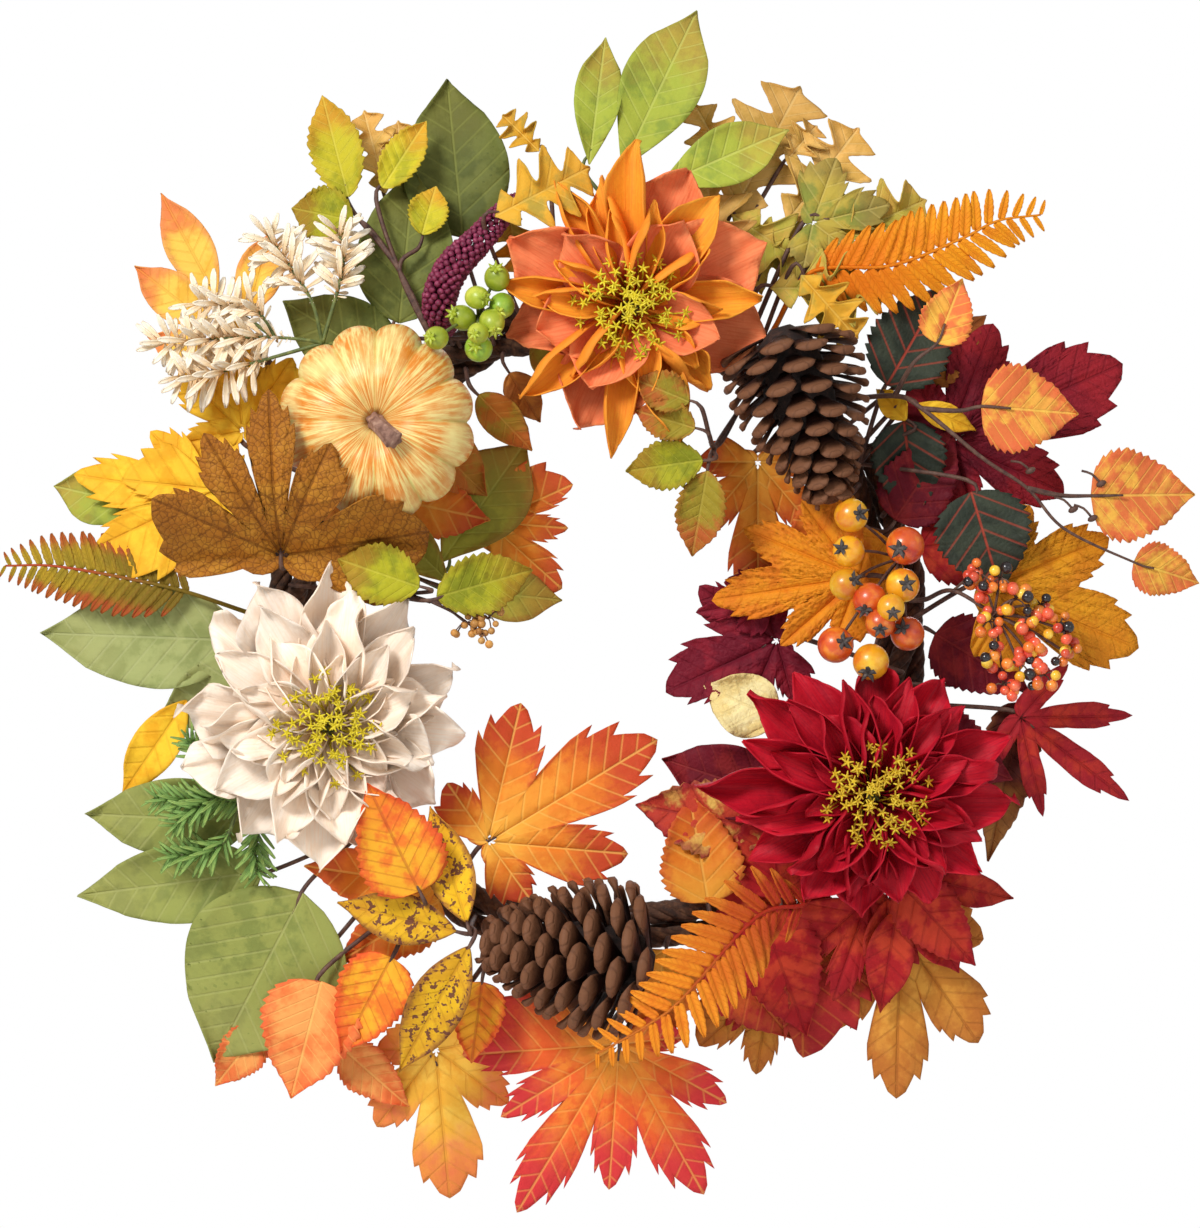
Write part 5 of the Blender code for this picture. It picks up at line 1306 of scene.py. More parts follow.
def build_flowers():
    """Each head's two rounds of petals, its stamens and its calyx."""
    star = pattern("star_stamen", star_stamen)
    tuft = spiral_tree("stamen_tuft", [(0.0, 0.05), (0.15, 0.38), (0.5, 0.72), (1.0, 1.0)])
    for name, (clock, out) in FLOWERS.items():
        x, height = spot(clock, out)
        for part, slot in zip(("outer", "inner"), PETAL_SLOTS[name]):
            making = Making()
            for number, (finish, petals, width, low, tilt, cup, fold, wave) in enumerate(
                    PETAL_ROUNDS[name][part]):
                chance = random.Random(f"{name}{part}{number}")
                for petal_clock, length in petals:
                    petal(making, finish, (x, height, CALYX_FRONT),
                          petal_clock + chance.uniform(-4, 4), length,
                          width * chance.uniform(0.88, 1.12),
                          (4.0, low + chance.uniform(-0.6, 0.6)),
                          (tilt[0] + chance.uniform(-5, 5), tilt[1] + chance.uniform(-7, 7)),
                          cup * chance.uniform(0.6, 1.35), fold,
                          wave * chance.uniform(0.7, 1.5), chance.uniform(-0.55, 0.55),
                          seed=number)
            making.made(f"{name}_{part}_silk", slot, (f"{name}_{part}_petals",))
        finish = "stamen_gold" if name == "red_flower" else "stamen_tip"
        stamens = grown(tuft, {"Piece": star, "Count": 74, "Radius": 0.010, "Length": -0.003,
                               "Tilt_Start": 0.05, "Tilt_End": 0.66, "Size_Start": 0.95,
                               "Size_End": 1.10, "Jitter": 0.22, "Seed": int(clock),
                               "Finish": finish_named(finish)})
        facing_forwards(stamens, (x, height, CALYX_FRONT + 11))
        settle(joined_mesh(f"{name}_star_stamens", [stamens]), "stamen",
               (f"{name}_stamens",), BODY)
        build_calyx(name, x, height)


def build_calyx(name, x, height):
    """The wire pick behind a flower head, its cup and its sepals."""
    making = Making()
    tube(making, [(x, height, FOOT_DEPTH), (x, height, CALYX_FRONT - 12)], PICK_RADIUS,
         "floral_wire", 8)
    tube(making, [(x, height, d) for d in (45, 49, 53, 57, 60)], (2.2, 5.0, 8.0, 9.0, 8.6),
         "sepal", 16)
    tube(making, [(x, height, d) for d in (60, 64, 67, 68.5)], (8.2, 7.8, 5.5, 1.5),
         "button_green", 16)
    for k in range(6):
        petal(making, "sepal", (x, height, CALYX_FRONT - 4), 60 * k + 20, 20, 10, (5, 0),
              (20, -10), 0.5, 0.1, 0.5, seed=k)
    making.made(f"{name}_calyx", "wire", (f"{name}_stem",))


# Cones

def cone_scale(making):
    """A woody scale: narrow root, broad rounded end, and the raised boss on its tip."""
    rows = []
    profile = ((0, 3.0, 0.7), (8, 5.0, 0.8), (14, 7.6, 1.0), (18, 8.8, 1.4), (21, 7.6, 2.2),
               (22.6, 4.4, 1.6))
    for length, half, thick in profile:
        row = []
        for k in range(10):
            turn = 2 * math.pi * k / 10
            row.append((half * math.cos(turn), thick * math.sin(turn) + 0.006 * length ** 2,
                        length))
        rows.append(row)
    rows = np.array(rows, float)
    count = len(rows)
    share = np.repeat(np.array([p[0] for p in profile]) / 22, 10)
    side = np.tile(np.abs(np.cos(2 * np.pi * np.arange(10) / 10)), count)
    leaf_map = np.stack([np.abs(rows[..., 0]).ravel() + 1.2, rows[..., 2].ravel(),
                         np.ones(count * 10)], axis=-1)
    # The share to the tip and to the edge carry the painted highlight on each scale's end
    tone = np.stack([share, side * share, np.full(count * 10, 0.5)], axis=-1)
    first = making.add(rows, leaf_map, tone, "pine_scale")
    k = np.arange(count * 10).reshape(count, 10) + first
    on = np.roll(k, -1, axis=1)
    making.face(np.stack([k[:-1], on[:-1], on[1:], k[1:]], axis=-1).reshape(-1, 4), "pine_scale")
    making.face(k[0, ::-1], "pine_scale")
    making.face(k[-1], "pine_scale")


# Each cone: clock, out, the clock its tip points to, length of its scaly part, size of its scales
CONES = {"upper_pine_cone": (43, -4, 163, 0.073, 1.0),
         "lower_pine_cone": (184.5, 7, 278, 0.066, 1.22)}
CONE_LENGTH = 84.0
CONE_DEPTH = 67.0


def build_cones():
    """Each cone: its scales in a spiral round a core painted near black as shade, on a pick."""
    scale = pattern("cone_scale", cone_scale)
    tree = spiral_tree("cone_scales", [(0.0, 0.42), (0.12, 0.85), (0.3, 1.0), (0.55, 0.86),
                                       (0.8, 0.52), (1.0, 0.12)])
    for name, (clock, out, tip_clock, scaly_length, scale_size) in CONES.items():
        x, height = spot(clock, out)
        way = heading(tip_clock)
        scales = grown(tree, {"Piece": scale, "Count": 92, "Radius": 0.0150,
                              "Length": scaly_length, "Tilt_Start": 1.50, "Tilt_End": 0.62,
                              "Size_Start": scale_size, "Size_End": 0.62 * scale_size,
                              "Jitter": 0.07, "Seed": 3,
                              "Finish": finish_named("pine_scale")})
        low = in_place((x - way[0] * CONE_LENGTH * 0.44, height - way[1] * CONE_LENGTH * 0.44,
                        CONE_DEPTH))
        turn = Vector((way[0], 0, way[1])).to_track_quat("Z", "Y").to_matrix().to_4x4()
        scales.transform(Matrix.Translation(Vector(low)) @ turn)
        making = Making()
        path = [(x + way[0] * s * CONE_LENGTH, height + way[1] * s * CONE_LENGTH, CONE_DEPTH)
                for s in (-0.46, -0.38, -0.1, 0.2, 0.4, 0.47)]
        # The core's near-black colour is painted shade, seen through the gaps between the scales
        tube(making, path, (5, 13, 17, 12, 6, 2), "cone_core", 14)
        tube(making, [(x, height, FOOT_DEPTH), (x, height, CONE_DEPTH - 10)], PICK_RADIUS,
             "floral_wire", 8)
        making.made(f"{name}_core", "pine_cone", (name,))
        settle(joined_mesh(f"{name}_scales", [scales]), "pine_cone", (name,), BODY)


# Pumpkin

PUMPKIN_SPOT = (313, -5)
PUMPKIN_RADIUS = 46.0
PUMPKIN_DEPTH = 75.0
PUMPKIN_HALF_HEIGHT = 28.0
PUMPKIN_RIBS = 12


def build_pumpkin():
    """A ribbed squash with its stalk end facing forwards."""
    making = Making()
    centre = spot(*PUMPKIN_SPOT)
    rows, cols = 44, 192
    polar = np.linspace(0.03, math.pi - 0.03, rows)[:, None]
    turn = (2 * np.pi * np.arange(cols) / cols)[None, :]
    rib = np.abs(np.sin(turn * PUMPKIN_RIBS / 2)) ** 0.7
    wobble = 1 + 0.012 * np.sin(3 * turn + 1) + 0.008 * np.sin(5 * turn)
    radius = PUMPKIN_RADIUS * np.sin(polar) ** 0.82 * (0.905 + 0.095 * rib) * wobble
    dimple = 11 * np.exp(-(radius / 13) ** 2)
    depth = PUMPKIN_DEPTH + (PUMPKIN_HALF_HEIGHT + 3) * np.cos(polar) - dimple * np.cos(polar)
    grid = np.stack([centre[0] + radius * np.sin(turn), centre[1] + radius * np.cos(turn),
                     depth + 0 * turn], axis=-1)
    leaf_map = np.stack([turn * 40 + 0 * polar, polar * 45 + 0 * turn, 1 + 0 * radius], axis=-1)
    tone = np.stack([polar / math.pi + 0 * turn, rib + 0 * polar, 0.5 + 0 * radius], axis=-1)
    first = making.add(grid, leaf_map.reshape(-1, 3), tone.reshape(-1, 3), "painted_foam")
    k = np.arange(rows * cols).reshape(rows, cols) + first
    on = np.roll(k, -1, axis=1)
    making.face(np.stack([k[:-1], k[1:], on[1:], on[:-1]], axis=-1).reshape(-1, 4)[:, ::-1],
                "painted_foam")
    making.face(k[0], "painted_foam")
    making.face(k[-1, ::-1], "painted_foam")
    tube(making, [(*centre, FOOT_DEPTH), (*centre, PUMPKIN_DEPTH - 15)], PICK_RADIUS,
         "floral_wire", 8)
    making.made("pumpkin_shell", "pumpkin_skin", ("pumpkin",))
    stalk = Making()
    front = PUMPKIN_DEPTH + PUMPKIN_HALF_HEIGHT * 0.62
    path = smooth_path([np.array((centre[0] + lean, centre[1] - lean, front + rise))
                        for lean, rise in ((0, 0), (0.5, 4), (2.0, 10), (5.5, 16), (9.5, 21))], 1.0)
    share = np.linspace(0, 1, len(path))
    radii = 3.3 + 2.8 * np.exp(-share * 9) + 0.9 * share ** 3
    tube(stalk, path, radii, "stalk_wood", 40, 0.5, 6, 0.13)
    stalk.made("pumpkin_stalk_wood", "pumpkin_stalk", ("pumpkin_stalk",))


# Ferns and other path pieces

def leaflet(making, t, u, half, lift, length, finish, thick, sweep=0.0):
    """A small leaf along Z, its face towards Y: `half` is half its width along its length."""
    ones = np.ones_like(half * u)
    grid = np.stack([half * u, lift * ones, length * t + sweep * half * np.abs(u)], axis=-1)
    leaf_map = np.stack([np.abs(half * u), length * t * ones, ones], axis=-1)
    tone = np.stack([t * ones, np.abs(u) * ones, 0.5 * ones], axis=-1)
    sheet(making, grid, leaf_map, tone, finish, (0, 1, 0), thick)


def fern_pinna(making):
    """One narrow toothed leaflet of a fern."""
    t = np.linspace(0, 1, 12)[:, None]
    u = np.array((-1, -0.5, 0, 0.5, 1))[None, :]
    teeth = 1 + 0.12 * ((t * 11) % 2 - 0.5) * np.abs(u) ** 4
    half = 3.4 * np.sin(np.pi * (0.12 + 0.86 * t) ** 0.75) ** 0.6 * teeth
    lift = -0.8 * np.exp(-(half * u / 1.0) ** 2) - 2.2 * t ** 2 + 0.4 * np.abs(u)
    leaflet(making, t, u, half, lift, PINNA_LENGTH, "fern_orange", 0.5, 0.25)


def needle(making):
    """A rosemary needle, bent back a little."""
    t = np.linspace(0, 1, 6)[:, None]
    u = np.array((-1, 0, 1))[None, :]
    half = 0.75 * np.sin(np.pi * (0.12 + 0.86 * t)) ** 0.6
    leaflet(making, t, u, half, 0.5 * np.abs(u) - 2.4 * t ** 2, 12, "rosemary_needle", 0.7)


def floret_petal(making):
    """A floret's petal, widest near its curled tip."""
    t = np.linspace(0, 1, 7)[:, None]
    u = np.array((-1, 0, 1))[None, :]
    half = 1.25 * np.sin(np.pi * (0.06 + 0.90 * t ** 1.8)) ** 0.8 + 0.15
    leaflet(making, t, u, half, 0.6 * np.abs(u) - 3.0 * t ** 2, 14, "floret_petal", 0.6)


def seed_bead(making):
    """One amaranth seed."""
    ball(making, (0, 0, 0.6), 1.25, "amaranth_seed", sides=6, rings=5)


PINNA_LENGTH = 24
FERNS = {
    "fern_upper_right": ("fern_orange", (31, 4), [
        (30.5, 20, 36), (31, 50, 46), (39, 74, 50), (43, 105, 50), (44.5, 124, 50), (47, 141, 50),
    ], 25, "fern_upper_right"),
    "fern_lower": ("fern_flame", (139, -4), [
        (139, 8, 44), (143, 16, 60), (151, 8, 76), (167, 29, 104), (173, 39, 101), (180, 51, 94),
    ], 25, BODY),
    "fern_left": ("fern_olive", (272, 2), [
        (272, 14, 34), (275, 49, 40), (276, 77, 42), (276.5, 113, 41), (276, 137, 40),
    ], 21, "fern_left"),
}


def build_ferns():
    """Each frond: toothed leaflets both sides of its rib."""
    pinna = pattern("fern_pinna", fern_pinna)
    tree = path_tree("fern_frond", [(0.0, 0.62), (0.25, 1.0), (0.6, 0.86), (0.85, 0.52),
                                    (1.0, 0.25)])
    for name, (finish, foot, points, reach, body) in FERNS.items():
        ribs = [spot_point(*point) for point in points]
        leafy = smooth_path(ribs[1:])
        fronds = grown(tree, {"Path": path_object(leafy), "Piece": pinna, "Count": 36,
                              "Turn": math.pi, "Lean": 1.05, "Offset": 0.0003,
                              "Size": reach / PINNA_LENGTH, "Up": FORWARD, "Jitter": 0.05, "Seed": 5,
                              "Finish": finish_named(finish)})
        making = Making()
        path = smooth_path(foot_points(foot) + ribs)
        tube(making, path, np.linspace(1.3, 0.5, len(path)), finish, 8)
        making.made(f"{name}_rib", finish, (name,), body)
        settle(joined_mesh(f"{name}_fronds", [fronds]), finish, (name,), body)


ROSEMARY_PATHS = (
    ((243, 20, 38), (243, 32, 46), (247, 62, 50), (249, 78, 50)),
    ((243, 32, 46), (250, 46, 50), (255, 54, 50)),
    ((244, 42, 48), (240, 60, 50), (242, 84, 50)),
    ((243, 32, 46), (237, 46, 50), (234, 52, 50)),
    ((243, 32, 46), (246, 52, 54), (245, 74, 56)),
)
FLORET_PATHS = (
    ((318, 24, 44), (316, 40, 58), (312, 58, 61), (308, 75, 62), (303, 100, 60)),
    ((316, 40, 58), (303, 72, 62), (301, 83, 62)),
    ((312, 58, 61), (311, 84, 62), (309, 96, 60)),
    ((316, 40, 58), (319, 60, 62), (320, 95, 60)),
    ((316, 40, 58), (325, 62, 62), (327, 78, 60)),
    ((312, 58, 61), (313, 70, 66), (313, 80, 66)),
)
AMARANTH_PATH = ((333, 12, 38), (334, 24, 58), (338, 36, 64), (343, 44, 66), (348, 55, 66),
                 (353.5, 64, 64))


def path_spray(name, node, slot, foot, paths, piece, tree, settings, stem_finish, body=BODY):
    """A spray whose stems carry one repeated small piece along their whole length."""
    making = Making()
    meshes = []
    for number, points in enumerate(paths):
        path = smooth_path([spot_point(*point) for point in points])
        start = foot_points(foot) if number == 0 else []
        stem_path = smooth_path(start + [spot_point(*point) for point in points])
        tube(making, stem_path, np.linspace(1.1, 0.6, len(stem_path)), stem_finish, 6)
        wanted = dict(settings, Path=path_object(path), Piece=piece, Seed=number + 1,
                      Count=max(6, int(settings["Count"] * len(path))))
        meshes.append(grown(tree, wanted))
    making.made(f"{name}_stems", slot, (node,), body)
    settle(joined_mesh(f"{name}_{settings['Label']}", meshes), slot, (node,), body)


def build_path_sprays():
    """The rosemary, the florets and the amaranth."""
    needles = path_tree("needle_sprig", [(0.0, 0.0), (0.25, 0.2), (0.45, 1.0), (0.8, 0.9),
                                         (1.0, 0.5)])
    florets = path_tree("floret_spray", [(0.0, 0.0), (0.35, 0.1), (0.5, 0.9), (0.8, 1.0),
                                         (1.0, 0.8)])
    seeds = path_tree("seed_spike", [(0.0, 0.5), (0.25, 1.0), (0.6, 0.85), (0.9, 0.45),
                                     (1.0, 0.2)])
    path_spray("rosemary", "rosemary_sprig", "rosemary", (243, 3), ROSEMARY_PATHS,
               pattern("needle", needle), needles,
               dict(Count=2.6, Turn=GOLDEN_TURN, Lean=0.85, Offset=0.0005, Size=1.1, Up=FORWARD,
                    Jitter=0.18, Finish=finish_named("rosemary_needle"), Label="needles"),
               "stem_green", "rosemary_sprig")
    path_spray("florets", "floret_spray", "floret", (320, 3), FLORET_PATHS,
               pattern("floret_petal", floret_petal), florets,
               dict(Count=2.6, Turn=GOLDEN_TURN, Lean=1.1, Offset=0.001, Size=1.15, Up=FORWARD,
                    Jitter=0.42, Finish=finish_named("floret_petal"), Label="petals"),
               "stem_green")
    path_spray("amaranth", "amaranth_spike", "amaranth", (333, 6), (AMARANTH_PATH,),
               pattern("seed_bead", seed_bead), seeds,
               dict(Count=11.0, Turn=GOLDEN_TURN, Lean=1.4, Offset=0.0060, Size=1.45, Up=FORWARD,
                    Jitter=0.6, Finish=finish_named("amaranth_seed"), Label="seeds"),
               "stem_brown")


# Berries

def star_calyx(making, centre, axis, radius, finish, points=5):
    """The dried star at a berry's end."""
    axis = np.asarray(axis, float) / np.linalg.norm(axis)
    side = np.cross(axis, (0.3, 0.9, 0.2))
    side /= np.linalg.norm(side)
    other = np.cross(axis, side)
    top = np.asarray(centre, float) + axis * radius * 0.93
    for k in range(points):
        turn = 2 * math.pi * k / points
        way = side * math.cos(turn) + other * math.sin(turn)
        tube(making, [top - way * 0.2, top + way * radius * 0.3 + axis * 0.4,
                      top + way * radius * 0.55 + axis * radius * 0.28],
             (radius * 0.16, radius * 0.15, 0.15), finish, 5)


HAWTHORN_BERRIES = (
    (66, -16, 72, 8, "gold_berry"), (73, -23, 72, 7.5, "gold_berry"),
    (80, -28, 72, 7.5, "gold_berry"), (75, 3, 72, 9, "hawthorn_berry"),
    (84, -18, 74, 8, "hawthorn_berry"), (82, -2, 74, 8, "gold_berry"),
    (94, -34, 70, 8.5, "hawthorn_berry"), (97, -17, 72, 8.5, "gold_berry"),
    (91, -1, 72, 8, "hawthorn_berry"), (89, -14, 80, 7, "hawthorn_berry"),
    (86, -9, 84, 6.5, "gold_berry"),
)
SPRAY_BERRIES = (
    (84, 36, 66), (82, 35, 66), (83, 44, 68), (86, 50, 70), (89, 56, 68), (92, 60, 68),
    (95, 52, 70), (98, 46, 68), (94, 40, 70), (89, 37, 70), (87, 62, 66), (90, 70, 68),
    (93, 74, 66), (96, 64, 68),
)
SPRAY_COLOURS = ("spray_orange", "spray_coral", "spray_yellow", "spray_black", "spray_orange",
                 "spray_coral")
ROSEHIPS = ((344, 24, 76, 6), (343.5, 11, 76, 6), (341, 5, 80, 6), (336.5, 12, 76, 6),
            (337, -4, 78, 6.5), (331, 8, 92, 5.5), (340, 18, 80, 5.5), (338, 2, 86, 5))
TAN_BERRIES = ((282, -90, 70), (278, -86, 70), (272, -84, 70), (268, -90, 70),
               (275, -94, 72))


def berry_stem(making, start, end, finish="stem_brown", radius=0.7):
    """A thin stem that bows a little between two points."""
    sag = (start + end) / 2 + np.array((0, 1.5, 1.0))
    path = smooth_path([start, sag, end])
    tube(making, path, radius, finish, 6)


def build_hawthorn():
    """Big lacquered berries on one fork."""
    making = Making()
    fork = smooth_path(foot_points((77, -2)) + [spot_point(77, 1, 40), spot_point(77, 0, 58)])
    tube(making, fork, 1.4, "stem_brown", 8)
    for number, (clock, out, depth, radius, finish) in enumerate(HAWTHORN_BERRIES):
        chance = random.Random(number)
        centre = spot_point(clock, out, depth)
        axis = np.array((chance.uniform(-0.7, 0.7), chance.uniform(-0.9, 0.4), 0.9))
        berry_stem(making, fork[-1], centre)
        ball(making, centre, radius, finish, axis, 24, 15, chance.random())
        star_calyx(making, centre, axis, radius, "calyx_grey")
    making.made("hawthorn_berries", "hawthorn_berry", ("hawthorn_pick",))


def build_spray():
    """Clusters of small beads of four colours."""
    making = Making()
    stem = smooth_path(foot_points((85, 4)) + [spot_point(85, 10, 40), spot_point(84, 22, 58),
                                               spot_point(88, 40, 66)])
    tube(making, stem, np.linspace(1.3, 0.9, len(stem)), "stem_brown", 8)
    chance = random.Random(11)
    for clock, out, depth in SPRAY_BERRIES:
        middle = spot_point(clock, out, depth)
        berry_stem(making, stem[-1] if out > 35 else stem[-12], middle)
        for _ in range(8):
            shift = np.array((chance.uniform(-5.8, 5.8), chance.uniform(-5.8, 5.8),
                              chance.uniform(-2, 5)))
            finish = chance.choice(SPRAY_COLOURS)
            berry_stem(making, middle, middle + shift, radius=0.4)
            ball(making, middle + shift, chance.uniform(2.2, 3.1), finish, (0, 0, 1), 12, 8,
                 chance.random())
    making.made("spray_berries", "spray_berry", ("berry_spray",), "berry_spray")


def build_rosehips():
    """Green hips, close together on one stem."""
    making = Making()
    stem = smooth_path(foot_points((337, 1)) + [spot_point(338, 6, 50), spot_point(339, 10, 66)])
    tube(making, stem, 1.3, "stem_green", 8)
    for number, (clock, out, depth, radius) in enumerate(ROSEHIPS):
        chance = random.Random(number + 40)
        centre = spot_point(clock, out, depth)
        axis = np.array((chance.uniform(-0.8, 0.8), chance.uniform(-0.8, 0.8), 0.8))
        finish = "rosehip_green" if number in (1, 4) else "rosehip_skin"
        berry_stem(making, stem[-1], centre, "stem_green", 0.8)
        ball(making, centre, radius, finish, axis, 20, 12, chance.random(), 1.15)
        star_calyx(making, centre, axis, radius * 1.15, "rosehip_skin", 6)
    making.made("rosehips", "rosehip", ("rosehip_pick",))


def build_rose_berry_pick():
    """Two rose leaves and a bunch of tan berries."""
    making = Making()
    route = [(279, -40, 40)]
    for number, leaf in enumerate(((283, -60, 6, 40, 27, 74, 0), (281, -69, 153, 46, 27, 74, 0))):
        clock, out, turn, length, _, depth, _ = leaf
        leaf_stem(making, (278, -1), route, (clock, out, turn, depth), length * 0.12)
        simple_leaf(making, "rose_leaf", "rose", leaf, seed=number)
    fork = spot_point(279, -66, 66)
    berry_stem(making, spot_point(279, -40, 42), fork, radius=1.0)
    chance = random.Random(8)
    for clock, out, depth in TAN_BERRIES:
        middle = spot_point(clock, out, depth)
        berry_stem(making, fork, middle, radius=0.6)
        for _ in range(7):
            shift = np.array((chance.uniform(-6, 6), chance.uniform(-6, 6),
                              chance.uniform(-3, 3)))
            berry_stem(making, middle, middle + shift, radius=0.35)
            ball(making, middle + shift, chance.uniform(1.4, 2.2), "tan_berry", (0, 0, 1), 10, 7,
                 chance.random())
    making.made("rose_berry_leaves", "rose_leaf", ("rose_berry_pick",))


BIRCH_TWIGS = (
    ((52, 32, 46), (56, 38, 60), (66, 51, 64), (72, 66, 64), (78, 78, 64)),
    ((52, 32, 46), (50, 48, 60)),
    ((56, 38, 60), (59, 52, 63)),
    ((72, 66, 64), (74, 80, 64)),
)
BIRCH_LEAVES = (
    (83, 108, 24, 33, 24, 64, 0), (50, 62, -28, 33, 24, 62, 0), (60, 62, 34, 46, 40, 64, 0),
    (75, 94, 14, 50, 42, 64, 0),
)


def build_birch_spray():
    """Leaves at the ends of bare twigs, with a few buds."""
    making = Making()
    for number, (twig, leaf) in enumerate(zip(BIRCH_TWIGS, BIRCH_LEAVES)):
        clock, out, turn, length, _, depth, _ = leaf
        start = [] if number else foot_points((46, 9))
        way = heading(clock + turn)
        end = spot_point(clock, out, depth) + np.array((way[0], way[1], 0)) * length * 0.3
        path = smooth_path(start + [spot_point(*point) for point in twig]
                           + [spot_point(clock, out, depth), end])
        tube(making, path, np.linspace(1.4, 0.55, len(path)), "stem_brown", 8)
        simple_leaf(making, "birch_leaf", "birch", leaf, curl=3, seed=number)
    for clock, out in ((76, 84), (77.5, 92), (74, 100), (70, 70)):
        bud = spot_point(clock, out, 65)
        berry_stem(making, spot_point(clock - 2, out - 7, 64), bud, radius=0.6)
        ball(making, bud, 1.6, "stem_brown", (1, 0.5, 0.2), 8, 6, 0.3, 1.6)
    making.made("birch_spray_silk", "birch_leaf", ("birch_spray",), "birch_spray")


# Vine ring, binding wire and hanging loop

HELIX_RADIUS = 7.2
STRAND_TURNS = 6
RODS = 5


def build_vines():
    """Each strand is a twist of thin vines, itself twisted round the ring with its neighbours."""
    steps = 260
    clock = np.linspace(0, 2 * np.pi, steps, endpoint=False)
    for number, strand in enumerate(STRANDS):
        making = Making()
        turn = STRAND_TURNS * clock + 2 * np.pi * number / len(STRANDS)
        for rod in range(RODS):
            chance = random.Random(number * 10 + rod)
            roll = 17 * clock + 2 * np.pi * rod / RODS + turn
            wander = 0.5 * np.sin(5 * clock + chance.uniform(0, 6))
            lay = 3.1 + wander
            out = HELIX_RADIUS * np.cos(turn) + lay * np.cos(roll)
            depth = RING_DEPTH + HELIX_RADIUS * np.sin(turn) + lay * np.sin(roll)
            radius = RING_RADIUS + out
            path = np.stack([radius * np.sin(clock), radius * np.cos(clock), depth], axis=-1)
            ring_tube(making, path, 2.2 + 0.25 * np.sin(29 * clock + rod), "vine_bark")
        making.made(f"{strand}_bark", "vine", (strand,))


BUNDLE_RADIUS = 12.7
HOOP_INNER = 14.0
HANGER_CLOCK = -3.0
HANGER_NECK = 14.0
EYE_RADIUS = 9.0
TIE_CLOCKS = {"tie_wire_right": 112, "tie_wire_left": 252}


def build_wires():
    """The two binding wires and the hanging loop."""
    for name, clock in TIE_CLOCKS.items():
        making = Making()
        turns = np.linspace(0, 2 * np.pi * 4, 160)
        radius = HOOP_INNER + 0.2
        points = []
        for turn in turns:
            x, height = spot(clock + (turn / (2 * np.pi) - 2) * 0.75, radius * math.cos(turn))
            points.append((x, height, RING_DEPTH + radius * math.sin(turn)))
        tube(making, points, 0.7, "floral_wire", 8)
        making.made(f"{name}_binding", "wire", (name,))
    making = Making()
    turns = np.linspace(0, 2 * np.pi * 0.995, 48)
    hoop = []
    for turn in turns:
        x, height = spot(HANGER_CLOCK, (HOOP_INNER + 1.3) * math.cos(turn))
        hoop.append((x, height, RING_DEPTH + (HOOP_INNER + 1.3) * math.sin(turn)))
    wire_ring(making, hoop)
    top = RING_RADIUS + BUNDLE_RADIUS + HANGER_NECK
    low_x, low = spot(HANGER_CLOCK, HOOP_INNER + 1.6)
    tube(making, [(low_x, low, RING_DEPTH), (0, top, RING_DEPTH)], WIRE_RADIUS, "floral_wire", 12)
    middle = top + EYE_RADIUS - WIRE_RADIUS
    eye = [(EYE_RADIUS * math.sin(t), middle + EYE_RADIUS * math.cos(t), RING_DEPTH)
           for t in turns]
    wire_ring(making, eye)
    wrap = []
    for t in np.linspace(0, 1, 120):
        turn = 2 * math.pi * 9 * t
        share = 0.15 + 0.7 * t
        wrap.append((low_x * (1 - share) + 2.0 * math.cos(turn), low + (top - low) * share,
                     RING_DEPTH + 2.0 * math.sin(turn)))
    tube(making, wrap, 0.6, "floral_wire", 6)
    making.made("hanging_loop_wire", "wire", ("hanging_loop",), "hanging_loop")


# The stage

CAMERA_DISTANCE = 2.6
SENSOR_WIDTH = 36.0
SEEN_WIDTH = 0.577  # metres across the view, at the front of the wreath
FRONT_LEAD = 0.03
# Area lights: place, size in metres, watts
LIGHTS = {"key": ((-0.9, -1.5, 0.8), 0.55, 32), "fill": ((1.3, -1.3, 0.1), 1.0, 3),
          "back": ((0.2, 1.4, 0.6), 1.2, 8)}
FLOOR_DROP = 0.44  # from the ring's centre down to the floor
FLOOR_SIDE, FLOOR_BACK = 0.9, 0.25


def build_lights(target):
    """Soft area lights, all facing the wreath."""
    for name, (place, size, watts) in LIGHTS.items():
        light = bpy.data.lights.new(name, "AREA")
        light.size = size
        light.energy = watts
        made = bpy.data.objects.new(name, light)
        made.location = place
        made.rotation_euler = (target - Vector(place)).to_track_quat("-Z", "Y").to_euler()
        bpy.context.scene.collection.objects.link(made)


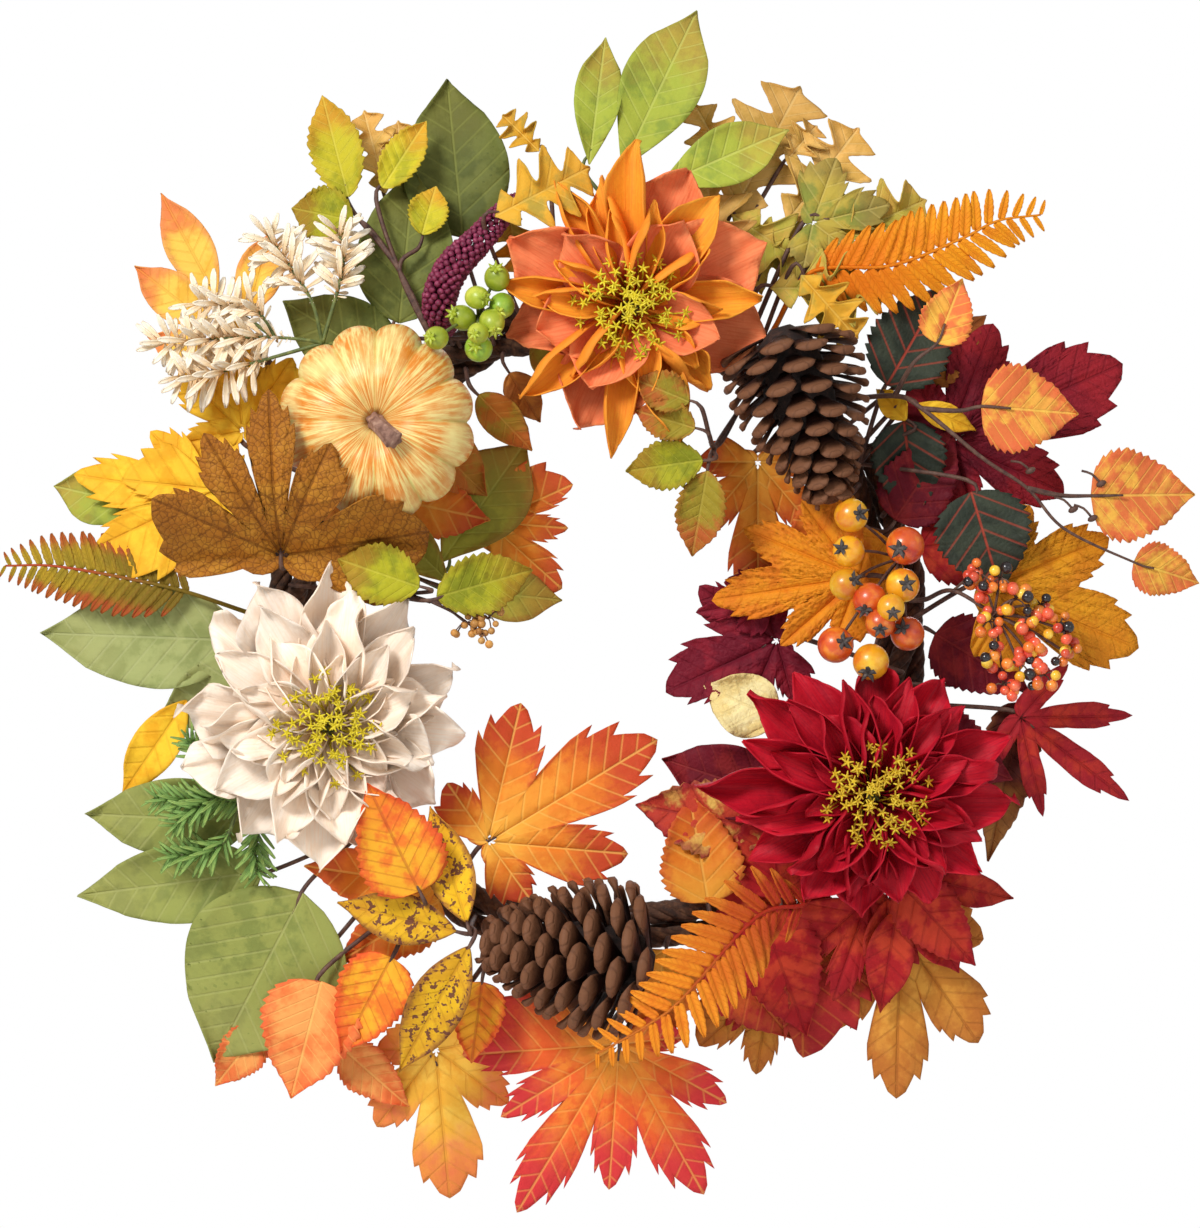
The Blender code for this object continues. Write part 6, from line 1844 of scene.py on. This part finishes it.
def build_studio():
    """A plain white studio, seen brighter than it lights."""
    world = bpy.data.worlds.new("studio")
    bpy.context.scene.world = world
    world.use_nodes = True
    tree = world.node_tree
    tree.nodes.clear()
    seen = add(tree, "ShaderNodeLightPath").outputs["Is Camera Ray"]
    strength = add(tree, "ShaderNodeMapRange", {0: seen, 3: 0.52, 4: 1.0})
    white = add(tree, "ShaderNodeBackground", {0: (1, 1, 1, 1), 1: strength})
    add(tree, "ShaderNodeOutputWorld", {0: white})


def build_floor():
    """A sheet of matt off-white paper, well below the wreath."""
    low = RING_CENTRE[2] - FLOOR_DROP
    corners = [(-FLOOR_SIDE, -FLOOR_SIDE, low), (FLOOR_SIDE, -FLOOR_SIDE, low),
               (FLOOR_SIDE, FLOOR_BACK, low), (-FLOOR_SIDE, FLOOR_BACK, low)]
    mesh = bpy.data.meshes.new("floor")
    mesh.from_pydata(corners, [], [(0, 1, 2, 3)])
    paper = bpy.data.materials.new("studio_floor_paper")
    paper.use_nodes = True
    shader = paper.node_tree.nodes["Principled BSDF"]
    shader.inputs["Base Color"].default_value = linear("#f2f1ee")
    shader.inputs["Roughness"].default_value = 0.8
    mesh.materials.append(paper)
    floor = bpy.data.objects.new("floor", mesh)
    bpy.context.scene.collection.objects.link(floor)


def build_stage():
    """A camera square on to the wreath, its lights, the studio and the floor."""
    centre = Vector((0.001, 0.0, RING_CENTRE[2] + 0.0066))
    scene = bpy.context.scene
    camera = bpy.data.cameras.new("camera")
    camera.lens = SENSOR_WIDTH * (CAMERA_DISTANCE - FRONT_LEAD) / SEEN_WIDTH
    camera.clip_end = 50
    seat = bpy.data.objects.new("camera", camera)
    seat.location = centre + Vector((0, -CAMERA_DISTANCE, 0))
    seat.rotation_euler = (math.radians(90), 0, 0)
    scene.collection.objects.link(seat)
    scene.camera = seat
    scene.view_settings.view_transform = "Standard"
    build_lights(centre)
    build_studio()
    build_floor()


build_vines()
build_wires()
build_sprigs()
build_lobed()
build_flowers()
build_cones()
build_pumpkin()
build_ferns()
build_path_sprays()
build_hawthorn()
build_spray()
build_rosehips()
build_rose_berry_pick()
build_birch_spray()
for helper in HELPERS:
    bpy.data.objects.remove(helper, do_unlink=True)
build_stage()
